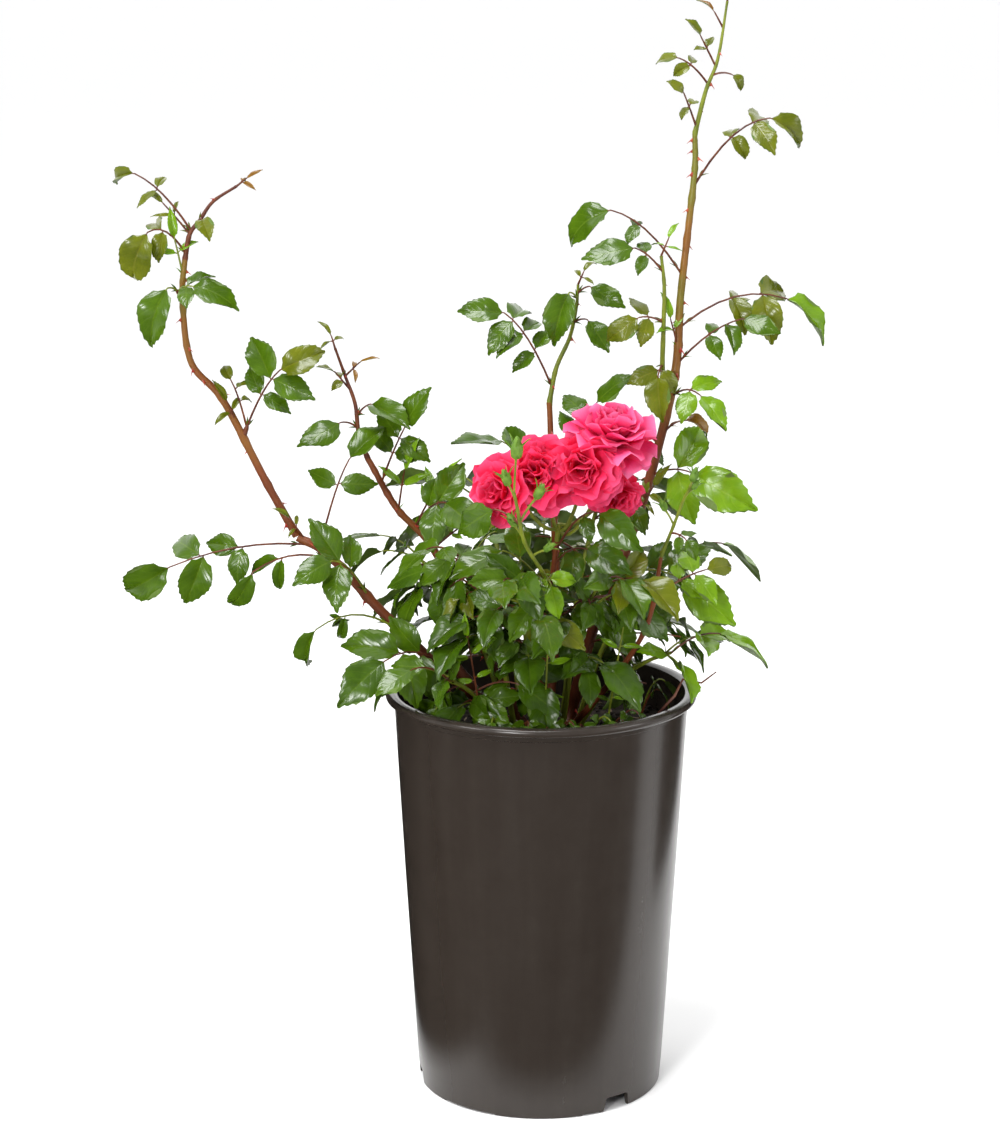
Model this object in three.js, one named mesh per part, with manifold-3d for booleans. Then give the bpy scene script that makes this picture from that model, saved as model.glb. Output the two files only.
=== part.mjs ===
// A small repeat-flowering garden rose in its tall nursery pot.
// Millimetres, +Z up. The origin is the centre of the pot's underside, and the plant's
// front, where most of its flowers open, faces -Y.
import * as THREE from 'three';
import { mergeVertices } from 'three/addons/utils/BufferGeometryUtils.js';
import Module from 'manifold-3d';

const wasm = await Module();
wasm.setup();

// ---- driving sizes -------------------------------------------------------------------

const CLEARANCE = 0.3;            // gap kept between pieces that touch

const POT_HEIGHT = 250;
const POT_RIM_RADIUS = 95;        // over the rolled lip
const POT_FOOT_RADIUS = 75;
const POT_WALL = 2;
const LIP_OVERHANG = 5;
const LIP_DEPTH = 5;
const FLOOR_HEIGHT = 12;          // underside of the raised floor
const DRAIN_BEARINGS = [-52, 68, 188];
const DRAIN_WIDTH = 23;
const DRAIN_HEIGHT = 9;
const PAD_RADIUS = 26;            // the middle pad that the pot also rests on

const SOIL_LEVEL = 225;
const GROUND = SOIL_LEVEL + CLEARANCE;

const LEAF_THICKNESS = 0.9;
const LEAF_WIDTH_RATIO = 0.72;
const LEAF_BROADEST = 0.44;       // where a leaflet is broadest, of its length
const LEAF_FOLD = 0.22;           // how far the edges stand above the midrib, of half a width
const LEAF_DROOP = 0.22;          // how far the tip hangs, of a length
const ROOT_SINK = 0.5;            // how far a leaflet starts behind its stalk's middle
const RACHIS_RADIUS = 1.0;
const BUD_RADIUS = 1.4;           // of the short bud that several leaves share
const ARCH = 0.1;                 // how far a leaf's stalk bows up, of a length
const HANG = 0.18;                // how far a leaflet points down, of its own heading
const PAIR_PLACES = { 0: [], 1: [0.6], 2: [0.45, 0.75], 3: [0.36, 0.6, 0.82] };
const PAIR_SIZES = { 0: [], 1: [0.78], 2: [0.68, 0.88], 3: [0.6, 0.76, 0.9] };
const SIDE_ANGLE = 62;
const STAGGER = 0.012;             // the two leaflets of a pair aren't quite opposite

const FRONT = new THREE.Vector3(0, -1, 0);
const UP = new THREE.Vector3(0, 0, 1);

// ---- materials -----------------------------------------------------------------------

const finish = (color, roughness) => new THREE.MeshStandardMaterial({ color, roughness, metalness: 0 });
const POT_PLASTIC = finish(0x453f3b, 0.35);
const PEAT = finish(0x2a201a, 0.95);
const OLD_WOOD = finish(0x6b3f28, 0.7);
const GREEN_WOOD = finish(0x6f7f36, 0.5);
const LEAF_GREEN = finish(0x4f8a2a, 0.4);
const PETAL_PINK = finish(0xf03a68, 0.55);

// ---- small helpers -------------------------------------------------------------------

const vector = (xyz) => new THREE.Vector3(...xyz);
const radians = THREE.MathUtils.degToRad;

// An even spread of numbers from 0 to 1, the same for the same seed.
function scatter(seed) {
  const wave = Math.sin(seed * 127.1) * 43758.5453;
  return wave - Math.floor(wave);
}

function spread(seed, amount) {
  return (scatter(seed) * 2 - 1) * amount;
}

function solidOf(geometry) {
  const bare = geometry.clone();
  bare.deleteAttribute('normal');
  bare.deleteAttribute('uv');
  const merged = mergeVertices(bare, 1e-4);
  return new wasm.Manifold(new wasm.Mesh({
    numProp: 3,
    vertProperties: new Float32Array(merged.attributes.position.array),
    triVerts: new Uint32Array(merged.index.array),
  }));
}

// The largest body of a joined solid, as a geometry: loose scraps are dropped, and slivers
// thinner than this closed up.
const SLIVER = 0.005;

function geometryOf(solid) {
  const bodies = solid.simplify(SLIVER).decompose();
  bodies.sort((a, b) => b.volume() - a.volume());
  const mesh = bodies[0].getMesh();
  const geometry = new THREE.BufferGeometry();
  geometry.setAttribute('position', new THREE.BufferAttribute(mesh.vertProperties, 3));
  geometry.setIndex(new THREE.BufferAttribute(mesh.triVerts, 1));
  geometry.computeVertexNormals();
  return geometry;
}

function joined(solids) {
  return solids.reduce((whole, piece) => whole.add(piece));
}

function touches(solid, other) {
  const a = solid.boundingBox();
  const b = other.boundingBox();
  const apart = [0, 1, 2].some((axis) => a.max[axis] < b.min[axis] || b.max[axis] < a.min[axis]);
  return !apart && !solid.intersect(other).isEmpty();
}

// ---- the plant, as it is put together --------------------------------------------------

const rose = new THREE.Group();
const placed = [];

function place(name, solid, material) {
  const mesh = new THREE.Mesh(geometryOf(solid), material);
  mesh.name = name;
  rose.add(mesh);
  placed.push(solidOf(mesh.geometry));
}

const clearOf = (solid, others) => !others.some((other) => touches(solid, other));

// ---- limbs -----------------------------------------------------------------------------

const routeOf = (points) => new THREE.CatmullRomCurve3(points.map(vector), false, 'catmullrom', 0.5);

const evenly = (steps) => Array.from({ length: steps + 1 }, (_, i) => i / steps);

// A round tapering limb: a cylinder bent along its route, with a ring at each station.
function limb(route, footRadius, tipRadius, sides, stations) {
  const geometry = new THREE.CylinderGeometry(tipRadius, footRadius, 1, sides, stations.length - 1);
  let normal = new THREE.Vector3(0.3, 0.2, 0.1);
  const rings = stations.map((station) => {
    const tangent = route.getTangent(station);
    normal = normal.clone().addScaledVector(tangent, -normal.dot(tangent)).normalize();
    return { middle: route.getPoint(station), normal, binormal: tangent.clone().cross(normal) };
  });
  const position = geometry.attributes.position;
  for (let i = 0; i < position.count; i += 1) {
    const ring = rings[Math.round((position.getY(i) + 0.5) * (stations.length - 1))];
    const point = ring.middle.clone().addScaledVector(ring.normal, position.getX(i));
    point.addScaledVector(ring.binormal, -position.getZ(i));
    position.setXYZ(i, point.x, point.y, point.z);
  }
  return solidOf(geometry);
}

// A stem that rises from the soil is cut flat at ground level, and a woody one flares there.
function stem(route, footRadius, tipRadius, sides, stations, flared = true) {
  const sunk = limb(route, footRadius, tipRadius, sides, stations);
  const foot = route.getPoint(0);
  if (!flared) {
    return sunk.trimByPlane([0, 0, 1], GROUND);
  }
  const flare = new THREE.CylinderGeometry(footRadius * 0.9, footRadius * 1.45, 9, sides);
  flare.rotateX(Math.PI / 2);
  flare.translate(foot.x, foot.y, GROUND + 4.5);
  return sunk.add(solidOf(flare)).trimByPlane([0, 0, 1], GROUND);
}

// Broad-based prickles that point out and a little down, turned round the limb by turns.
function prickles(route, radiusAt, count, seed) {
  const thorns = [];
  for (let i = 0; i < count; i += 1) {
    const at = (i + 0.6 + spread(seed + i, 0.25)) / (count + 0.4);
    const bearing = radians(scatter(seed * 3 + i * 7) * 360);
    const outward = new THREE.Vector3(Math.cos(bearing), Math.sin(bearing), 0);
    const tangent = route.getTangent(at);
    outward.addScaledVector(tangent, -outward.dot(tangent)).normalize();
    const aim = outward.clone().addScaledVector(UP, -0.25).normalize();
    const thorn = new THREE.ConeGeometry(1.5, 6.5, 3);
    thorn.applyQuaternion(new THREE.Quaternion().setFromUnitVectors(new THREE.Vector3(0, 1, 0), aim));
    const middle = route.getPoint(at).addScaledVector(aim, radiusAt(at) + 1.7);
    thorn.translate(middle.x, middle.y, middle.z);
    thorns.push(solidOf(thorn));
  }
  return thorns;
}

// ---- leaves ------------------------------------------------------------------------------

// One leaflet: a thin folded blade, broadest near its middle, its tip hanging. It is an
// octahedron drawn out: root, tip, two edges, and the top and bottom of its midrib.
// With a margin it is the space that the leaflet needs round it.
function leaflet(root, along, face, length, margin = 0) {
  const across = new THREE.Vector3().crossVectors(along, face);
  const half = length * LEAF_WIDTH_RATIO / 2;
  const start = margin > 0 ? 3 : -ROOT_SINK;
  const geometry = new THREE.OctahedronGeometry(1);
  const position = geometry.attributes.position;
  for (let i = 0; i < position.count; i += 1) {
    const side = position.getX(i);
    const end = position.getY(i);
    const skin = position.getZ(i) * (LEAF_THICKNESS / 2 + margin);
    const y = end === 0 ? length * LEAF_BROADEST : (end > 0 ? length + margin : start);
    const hang = LEAF_DROOP * length * (y / length) ** 2;
    const point = root.clone().addScaledVector(across, side * (half + margin));
    point.addScaledVector(along, y).addScaledVector(face, Math.abs(side) * LEAF_FOLD * half + skin - hang);
    position.setXYZ(i, point.x, point.y, point.z);
  }
  return solidOf(geometry);
}

// The face of a blade that grows along a line: as near as it can be to where the leaf looks.
function faceOf(along, look) {
  return look.clone().addScaledVector(along, -look.dot(along)).normalize();
}

// The stalk of a leaf arches from its foot over the length that it reaches.
function stalkRoute(foot, reach, arch) {
  const crest = foot.clone().addScaledVector(reach, 0.5).addScaledVector(UP, 2 * arch * reach.length());
  return new THREE.QuadraticBezierCurve3(foot, crest, foot.clone().add(reach));
}

// A compound leaf: a slim arching stalk with pairs of leaflets and one at its end. Its tilt is
// how far its face leans to the front, and sides is the size of its pairs against its end one.
function compoundLeaf(foot, leaf, seed, standing, front) {
  const { reach, size, pairs, arch = ARCH, tilt = 50, hang = HANG, sides = 1 } = leaf;
  const route = stalkRoute(foot, reach, arch);
  const stations = [0, ...PAIR_PLACES[pairs], 1];
  const stalk = limb(route, RACHIS_RADIUS, RACHIS_RADIUS * 0.7, 3, stations);
  const clear = RACHIS_RADIUS + CLEARANCE;
  if (!clearOf(limb(route, clear, clear, 3, stations), standing)) {
    return null;
  }
  const look = UP.clone().multiplyScalar(Math.cos(radians(tilt)));
  look.addScaledVector(front, Math.sin(radians(tilt)));
  const blades = [];
  const grow = (place, turn, length, number) => {
    const heading = route.getTangent(place);
    const side = new THREE.Vector3().crossVectors(heading, faceOf(heading, look)).normalize();
    const angle = radians(turn + spread(seed * 5 + number, 12));
    const along = heading.multiplyScalar(Math.cos(angle)).addScaledVector(side, Math.sin(angle));
    along.addScaledVector(UP, -hang + spread(seed * 7 + number, 0.15)).normalize();
    const face = faceOf(along, look);
    face.applyAxisAngle(along, radians(spread(seed * 11 + number, 22)));
    const size = length * (1 + spread(seed * 13 + number, 0.1));
    const root = route.getPoint(place);
    const space = leaflet(root, along, face, size, CLEARANCE);
    if (clearOf(space, standing) && clearOf(space, blades.map((blade) => blade.space))) {
      blades.push({ space, blade: leaflet(root, along, face, size) });
    }
  };
  grow(1, 0, size, 0);
  PAIR_PLACES[pairs].forEach((place, k) => {
    const length = size * sides * PAIR_SIZES[pairs][k];
    [1, -1].forEach((side) => grow(place + side * STAGGER, side * SIDE_ANGLE, length, 2 * k + 1.5 + side / 2));
  });
  return { stalk, blades };
}

// A mass of leaves: the compound leaves that grow where there is room, on one stem.
// A single leaf is its own stem.
function leafMass(name, stemSolid, leaves, front, seed) {
  const parts = stemSolid ? [stemSolid] : [];
  const spaces = [];
  leaves.forEach((leaf, k) => {
    const grown = compoundLeaf(leaf.foot, leaf, seed + k * 3, placed.concat(spaces), front);
    if (grown) {
      parts.push(grown.stalk, ...grown.blades.map((blade) => blade.blade));
      spaces.push(...grown.blades.map((blade) => blade.space));
    }
  });
  place(name, joined(parts), LEAF_GREEN);
}

// Where a shoot that leaves a limb starts: in along its heading until its foot just clears it.
function springPoint(carrier, at, heading, footRadius, sides) {
  const slant = heading.dot(carrier.route.getTangent(at));
  const square = Math.max(Math.sqrt(1 - slant * slant), 0.35);
  const start = carrier.route.getPoint(at);
  let run = (carrier.radiusAt(at) + footRadius + CLEARANCE) / square;
  for (let pass = 0; pass < 8; pass += 1) {
    const foot = start.clone().addScaledVector(heading, run);
    const stub = new THREE.LineCurve3(foot, foot.clone().addScaledVector(heading, 3));
    const gap = limb(stub, footRadius, footRadius, sides, [0, 1]).minGap(carrier.solid, 12);
    run -= gap - CLEARANCE - 0.02;
  }
  return start.addScaledVector(heading, run);
}

// ---- the pot -----------------------------------------------------------------------------

function pot() {
  const wallTop = POT_RIM_RADIUS - LIP_OVERHANG;
  const outline = [
    [0, 0], [PAD_RADIUS, 0], [PAD_RADIUS + 3, FLOOR_HEIGHT], [POT_FOOT_RADIUS - 4, FLOOR_HEIGHT],
    [POT_FOOT_RADIUS - 3, 0], [POT_FOOT_RADIUS, 0], [POT_FOOT_RADIUS + 1, FLOOR_HEIGHT],
    [wallTop, POT_HEIGHT - LIP_DEPTH], [POT_RIM_RADIUS - 1, POT_HEIGHT - LIP_DEPTH],
    [POT_RIM_RADIUS, POT_HEIGHT - LIP_DEPTH / 2], [POT_RIM_RADIUS - 1.5, POT_HEIGHT],
    [wallTop - POT_WALL, POT_HEIGHT], [POT_FOOT_RADIUS - POT_WALL, FLOOR_HEIGHT + POT_WALL],
    [PAD_RADIUS, FLOOR_HEIGHT + POT_WALL], [PAD_RADIUS - 3, POT_WALL], [0, POT_WALL],
  ];
  const shell = new THREE.LatheGeometry(outline.map(([x, y]) => new THREE.Vector2(x, y)), 28);
  shell.rotateX(Math.PI / 2);
  let body = solidOf(shell);
  DRAIN_BEARINGS.forEach((bearing) => {
    const notch = new THREE.BoxGeometry(24, DRAIN_WIDTH, 2 * DRAIN_HEIGHT);
    notch.translate(POT_FOOT_RADIUS, 0, 0);
    const hole = new THREE.CylinderGeometry(6, 6, 3 * POT_WALL, 6);
    hole.rotateX(Math.PI / 2);
    hole.translate(POT_FOOT_RADIUS - 18, 0, FLOOR_HEIGHT + POT_WALL / 2);
    [notch, hole].forEach((cutter) => {
      cutter.rotateZ(radians(bearing));
      body = body.subtract(solidOf(cutter));
    });
  });
  return body;
}
place('pot', pot(), POT_PLASTIC);

// The compost fills the pot to a little below its rim.
function pottingSoil() {
  const gap = CLEARANCE + 0.2;
  const slope = (POT_RIM_RADIUS - LIP_OVERHANG - POT_FOOT_RADIUS) / (POT_HEIGHT - FLOOR_HEIGHT);
  const floor = FLOOR_HEIGHT + POT_WALL + gap;
  const inner = (height) => POT_FOOT_RADIUS - POT_WALL - gap + slope * (height - FLOOR_HEIGHT);
  const outline = [[0, floor], [inner(floor) - 1, floor], [inner(SOIL_LEVEL) - 1, SOIL_LEVEL], [0, SOIL_LEVEL]];
  const fill = new THREE.LatheGeometry(outline.map(([x, y]) => new THREE.Vector2(x, y)), 28);
  fill.rotateX(Math.PI / 2);
  return solidOf(fill);
}
place('potting_soil', pottingSoil(), PEAT);

// ---- stems and canes ---------------------------------------------------------------------

// Each stem rises from the soil near the middle of the pot. Routes run from foot to tip.
const CANES = {
  right_cane: { radii: [3.8, 1.5], prickles: 10,
    route: [[16, 1, 224], [32, 1, 288], [58, 5, 355], [79, 11, 436], [83, 13, 491], [90, 16, 560],
      [90, 17, 584]] },
  left_cane: { radii: [3.4, 2.6], prickles: 2,
    route: [[-15, -1, 224], [-60, -4, 262], [-96, -4, 298], [-128, -2, 333], [-147, 0, 344]] },
  mid_left_cane: { radii: [2.8, 1.8], prickles: 2,
    route: [[-11, 10, 224], [-38, 20, 275], [-66, 30, 330], [-88, 31, 355], [-106, 34, 386]] },
  middle_cane: { radii: [2.8, 1.7], prickles: 3,
    route: [[5, 13, 224], [10, 20, 290], [8, 25, 350], [5, 31, 421]] },
  bud_cane: { radii: [2.2, 1.0], prickles: 0,
    route: [[15, -10, 224], [42, -28, 262], [62, -44, 300], [70, -50, 345]] },
  flower_cane: { radii: [2.4, 1.3], prickles: 0,
    route: [[-1, -13, 224], [2, -26, 275], [6, -35, 325], [9, -40, 352]] },
};

const limbs = {};
Object.entries(CANES).forEach(([name, cane], number) => {
  const route = routeOf(cane.route);
  const [foot, tip] = cane.radii;
  const radiusAt = (at) => foot + (tip - foot) * at;
  const parts = [stem(route, foot, tip, 6, evenly(2 * cane.route.length - 2))];
  parts.push(...prickles(route, radiusAt, cane.prickles, 20 + number * 9));
  limbs[name] = { route, radiusAt, solid: joined(parts) };
  place(name, limbs[name].solid, OLD_WOOD);
});

// The left cane turns up at its bend, where the limb is split.
function leftUpperCane() {
  const [foot, tip] = [2.6, 1.6];
  const bend = new THREE.Vector3(-165, 0, 377);
  const heading = bend.clone().sub(limbs.left_cane.route.getPoint(1)).normalize();
  const start = springPoint(limbs.left_cane, 1, heading, foot, 6);
  const route = routeOf([start.toArray(), bend.toArray(), [-190, 0, 427], [-209, 0, 451],
    [-213, 0, 490], [-211, 0, 512]]);
  const radiusAt = (share) => foot + (tip - foot) * share;
  const solid = joined([limb(route, foot, tip, 6, evenly(10)), ...prickles(route, radiusAt, 6, 131)]);
  limbs.left_upper_cane = { route, radiusAt, solid };
  place('left_upper_cane', solid, OLD_WOOD);
}
leftUpperCane();

// A pruned stub leans left beside the stems, cut flat across.
function prunedStub() {
  const route = routeOf([[-26, -10, 224], [-38, -14, 248], [-52, -16, 268]]);
  place('pruned_stub', stem(route, 3.6, 3.2, 6, evenly(3)), OLD_WOOD);
}
prunedStub();

// ---- flowers ---------------------------------------------------------------------------------

// Open double flowers, each a ruffled cup that looks its own way. They press against each
// other, so each is cut back to the plane halfway to its neighbour.
const BLOOMS = {
  bloom_upper: { centre: [41, -58, 420], look: [0.15, -0.3, 0.95], radius: 27 },
  bloom_middle: { centre: [22, -74, 401], look: [-0.15, -0.95, 0.1], radius: 23 },
  bloom_left: { centre: [-4, -68, 398], look: [-0.3, -0.8, 0.4], radius: 24 },
  bloom_outer: { centre: [-26, -78, 389], look: [-0.6, -0.8, 0.15], radius: 20 },
  bloom_low: { centre: [45, -52, 379], look: [0.3, -0.8, -0.2], radius: 15 },
};
const BLOOM_FOOT = 0.42;          // how far a flower's foot lies behind its middle, of a radius

function bloomSolid({ centre, look, radius }) {
  const outline = [[0, -BLOOM_FOOT], [0.3, -BLOOM_FOOT], [0.85, -0.12], [1, 0.14], [0.7, 0.4],
    [0.25, 0.36], [0, 0.3]];
  const cup = new THREE.LatheGeometry(outline.map(([x, y]) => new THREE.Vector2(x * radius, y * radius)), 10);
  const position = cup.attributes.position;
  for (let i = 0; i < position.count; i += 1) {
    const turn = Math.atan2(position.getZ(i), position.getX(i));
    const ruffle = 1 + 0.06 * Math.cos(5 * turn);
    position.setX(i, position.getX(i) * ruffle);
    position.setZ(i, position.getZ(i) * ruffle);
  }
  const axis = new THREE.Vector3(0, 1, 0);
  cup.applyQuaternion(new THREE.Quaternion().setFromUnitVectors(axis, vector(look).normalize()));
  cup.translate(...centre);
  return solidOf(cup);
}

function bloom(name) {
  let body = bloomSolid(BLOOMS[name]);
  const centre = vector(BLOOMS[name].centre);
  Object.entries(BLOOMS).forEach(([other, neighbour]) => {
    const toward = vector(neighbour.centre).sub(centre);
    const share = BLOOMS[name].radius / (BLOOMS[name].radius + neighbour.radius);
    if (other !== name && toward.length() < BLOOMS[name].radius + neighbour.radius) {
      const limit = centre.clone().addScaledVector(toward, share);
      const inward = toward.normalize().negate();
      body = body.trimByPlane(inward.toArray(), inward.dot(limit) + CLEARANCE / 2);
    }
  });
  return body;
}
Object.keys(BLOOMS).forEach((name) => place(name, bloom(name), PETAL_PINK));

// The flower truss: a short stem on the tip of its cane, and one stalk for each flower, each
// leaving the stem a little above the last and curving up to its flower's foot.
function flowerTruss() {
  const cane = limbs.flower_cane.route;
  const heading = cane.getTangent(1);
  const start = cane.getPoint(1).addScaledVector(heading, 2 * CLEARANCE);
  const end = start.clone().addScaledVector(heading, 9);
  const parts = [limb(new THREE.LineCurve3(start, end), 1.9, 1.7, 4, [0, 1])];
  Object.values(BLOOMS).forEach(({ centre, look, radius }, number) => {
    const node = start.clone().addScaledVector(heading, 3 + 1.3 * number);
    const facing = vector(look).normalize();
    const foot = vector(centre).addScaledVector(facing, -BLOOM_FOOT * radius - 2 * CLEARANCE);
    const below = foot.clone().addScaledVector(facing, -0.6 * radius);
    const low = node.clone().lerp(below, 0.5).addScaledVector(UP, -radius);
    const stalk = new THREE.CubicBezierCurve3(node, low, below, foot);
    parts.push(limb(stalk, 1.4, 1.2, 3, evenly(4)));
  });
  return joined(parts);
}
place('flower_truss', flowerTruss(), GREEN_WOOD);

// ---- leaf masses on the canes --------------------------------------------------------------

// Every leaf on a cane: where it leaves the cane, how far its stalk reaches, and its size.
// Leaves of one mass share the short bud that they spring from.
const CANE_LEAVES = {
  right_upper_leaf: { cane: 'right_cane', at: 0.81, leaves: [
    { reach: [41, -6, 36], size: 28, pairs: 2, arch: 0.15, tilt: 30, hang: 0.4 }] },
  right_inner_upper_leaf: { cane: 'right_cane', at: 0.69, leaves: [
    { reach: [-41, -6, 36], size: 36, pairs: 1, arch: 0.12, tilt: 30, hang: 0.4, sides: 0.6 }] },
  right_high_leaf: { cane: 'right_cane', at: 0.6, leaves: [
    { reach: [60, -6, 16], size: 36, pairs: 2, arch: 0.14, tilt: 25, hang: 0.35 }] },
  right_middle_leaf: { cane: 'right_cane', at: 0.53, leaves: [
    { reach: [34, -20, 27], size: 26, pairs: 2, arch: 0.08, tilt: 35, hang: 0.3 }] },
  right_near_leaf: { cane: 'right_cane', at: 0.48, leaves: [
    { reach: [14, -14, 2], size: 29, pairs: 1, arch: 0.15, tilt: 45 }] },
  right_small_leaf: { cane: 'right_cane', at: 0.435, leaves: [
    { reach: [9, -4, 5], size: 20, pairs: 0, tilt: 30 }] },
  right_broad_leaf: { cane: 'right_cane', at: 0.385, leaves: [
    { reach: [21, -13, 3], size: 43, pairs: 1, tilt: 65 }] },
  right_inner_leaf: { cane: 'right_cane', at: 0.35, leaves: [
    { reach: [-7, -13, 0], size: 27, pairs: 1, tilt: 55 }] },
  left_high_leaf: { cane: 'left_upper_cane', at: 0.8, leaves: [
    { reach: [-5, -8, 3], size: 40, pairs: 0, tilt: 50, hang: 0.9 },
    { reach: [9, -7, 4], size: 35, pairs: 1, tilt: 35, sides: 0.7 }] },
  left_side_leaf: { cane: 'left_upper_cane', at: 0.31, leaves: [
    { reach: [21, -9, 36], size: 33, pairs: 2, tilt: 60 },
    { reach: [-9, 5, 27], size: 15, pairs: 2, tilt: 30 }] },
  left_low_leaf: { cane: 'left_cane', at: 0.86, leaves: [
    { reach: [-78, -10, -12], size: 38, pairs: 2, arch: 0.06, tilt: 60, hang: 0.45 }] },
  left_arching_leaf: { cane: 'left_cane', at: 0.81, leaves: [
    { reach: [17, 8, 50], size: 32, pairs: 1, arch: 0.1, tilt: 65 }] },
  left_hanging_leaf: { cane: 'left_cane', at: 0.72, leaves: [
    { reach: [-42, -12, -6], size: 38, pairs: 1, arch: 0.12, tilt: 50, hang: 0.6, sides: 0.85 }] },
  left_inner_leaf: { cane: 'left_cane', at: 0.56, leaves: [
    { reach: [-18, -24, 24], size: 34, pairs: 2, arch: 0.12, tilt: 55 }] },
  left_curled_leaf: { cane: 'left_cane', at: 0.42, leaves: [
    { reach: [-42, -16, 0], size: 31, pairs: 1, arch: 0.16, tilt: 50, hang: 0.5 }] },
  rim_left_leaf: { cane: 'left_cane', at: 0.2, leaves: [
    { reach: [-38, -42, 20], size: 42, pairs: 2, arch: 0.16, tilt: 50 }] },
  mid_left_upright_leaf: { cane: 'mid_left_cane', at: 0.88, leaves: [
    { reach: [14, -12, 34], size: 28, pairs: 2, arch: 0.04, tilt: 50 }] },
  mid_left_low_leaf: { cane: 'mid_left_cane', at: 0.62, leaves: [
    { reach: [18, -30, 20], size: 36, pairs: 2, arch: 0.1, tilt: 55 }] },
  middle_side_leaf: { cane: 'middle_cane', at: 0.8, leaves: [
    { reach: [24, -14, 42], size: 28, pairs: 2, arch: 0.03, tilt: 45 }] },
  behind_bloom_leaf: { cane: 'middle_cane', at: 0.72, leaves: [
    { reach: [-30, -24, 38], size: 34, pairs: 1, arch: 0.1, tilt: 40, hang: 0.35 }] },
  under_bloom_leaf: { cane: 'flower_cane', at: 0.9, leaves: [
    { reach: [22, -30, 25], size: 35, pairs: 1, arch: 0.14, tilt: 60, hang: 0.6, sides: 0.6 }] },
  flower_side_leaf: { cane: 'flower_cane', at: 0.78, leaves: [
    { reach: [16, -22, 12], size: 34, pairs: 1, arch: 0.1, tilt: 50, hang: 0.3 }] },
  flower_left_leaf: { cane: 'flower_cane', at: 0.6, leaves: [
    { reach: [-26, -12, 26], size: 34, pairs: 1, arch: 0.1, tilt: 50, hang: 0.3 }] },
  right_spreading_leaf: { cane: 'right_cane', at: 0.24, leaves: [
    { reach: [38, -26, 4], size: 38, pairs: 2, arch: 0.12, tilt: 60 }] },
  right_rim_leaf: { cane: 'right_cane', at: 0.14, leaves: [
    { reach: [50, -36, 12], size: 42, pairs: 1, arch: 0.06, tilt: 55 }] },
  right_red_leaf: { cane: 'bud_cane', at: 0.8, leaves: [
    { reach: [28, 6, 14], size: 25, pairs: 2, arch: 0.06, tilt: 50 }] },
};

Object.entries(CANE_LEAVES).forEach(([name, mass], number) => {
  const seed = 200 + number * 11;
  const first = mass.leaves[0];
  const heading = stalkRoute(new THREE.Vector3(), vector(first.reach), first.arch ?? ARCH).getTangent(0);
  if (mass.leaves.length === 1) {
    const foot = springPoint(limbs[mass.cane], mass.at, heading, RACHIS_RADIUS, 3);
    leafMass(name, null, [{ ...first, foot, reach: vector(first.reach) }], FRONT, seed);
    return;
  }
  const start = springPoint(limbs[mass.cane], mass.at, heading, BUD_RADIUS, 4);
  const bud = new THREE.LineCurve3(start, start.clone().addScaledVector(heading, 4));
  const foot = bud.getPoint(0.6);
  const leaves = mass.leaves.map((leaf) => ({ ...leaf, foot, reach: vector(leaf.reach) }));
  leafMass(name, limb(bud, BUD_RADIUS, BUD_RADIUS, 4, [0, 1]), leaves, FRONT, seed);
});

// ---- shoots that carry on from a cane's tip, or branch from its side ------------------------

// A flower bud: a slim pointed body on the end of a stalk.
function budSolid(point, heading, length) {
  const bud = new THREE.OctahedronGeometry(1);
  bud.scale(length * 0.32, length * 0.5, length * 0.32);
  bud.applyQuaternion(new THREE.Quaternion().setFromUnitVectors(new THREE.Vector3(0, 1, 0), heading));
  const middle = point.clone().addScaledVector(heading, length * 0.3);
  bud.translate(middle.x, middle.y, middle.z);
  return solidOf(bud);
}

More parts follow.
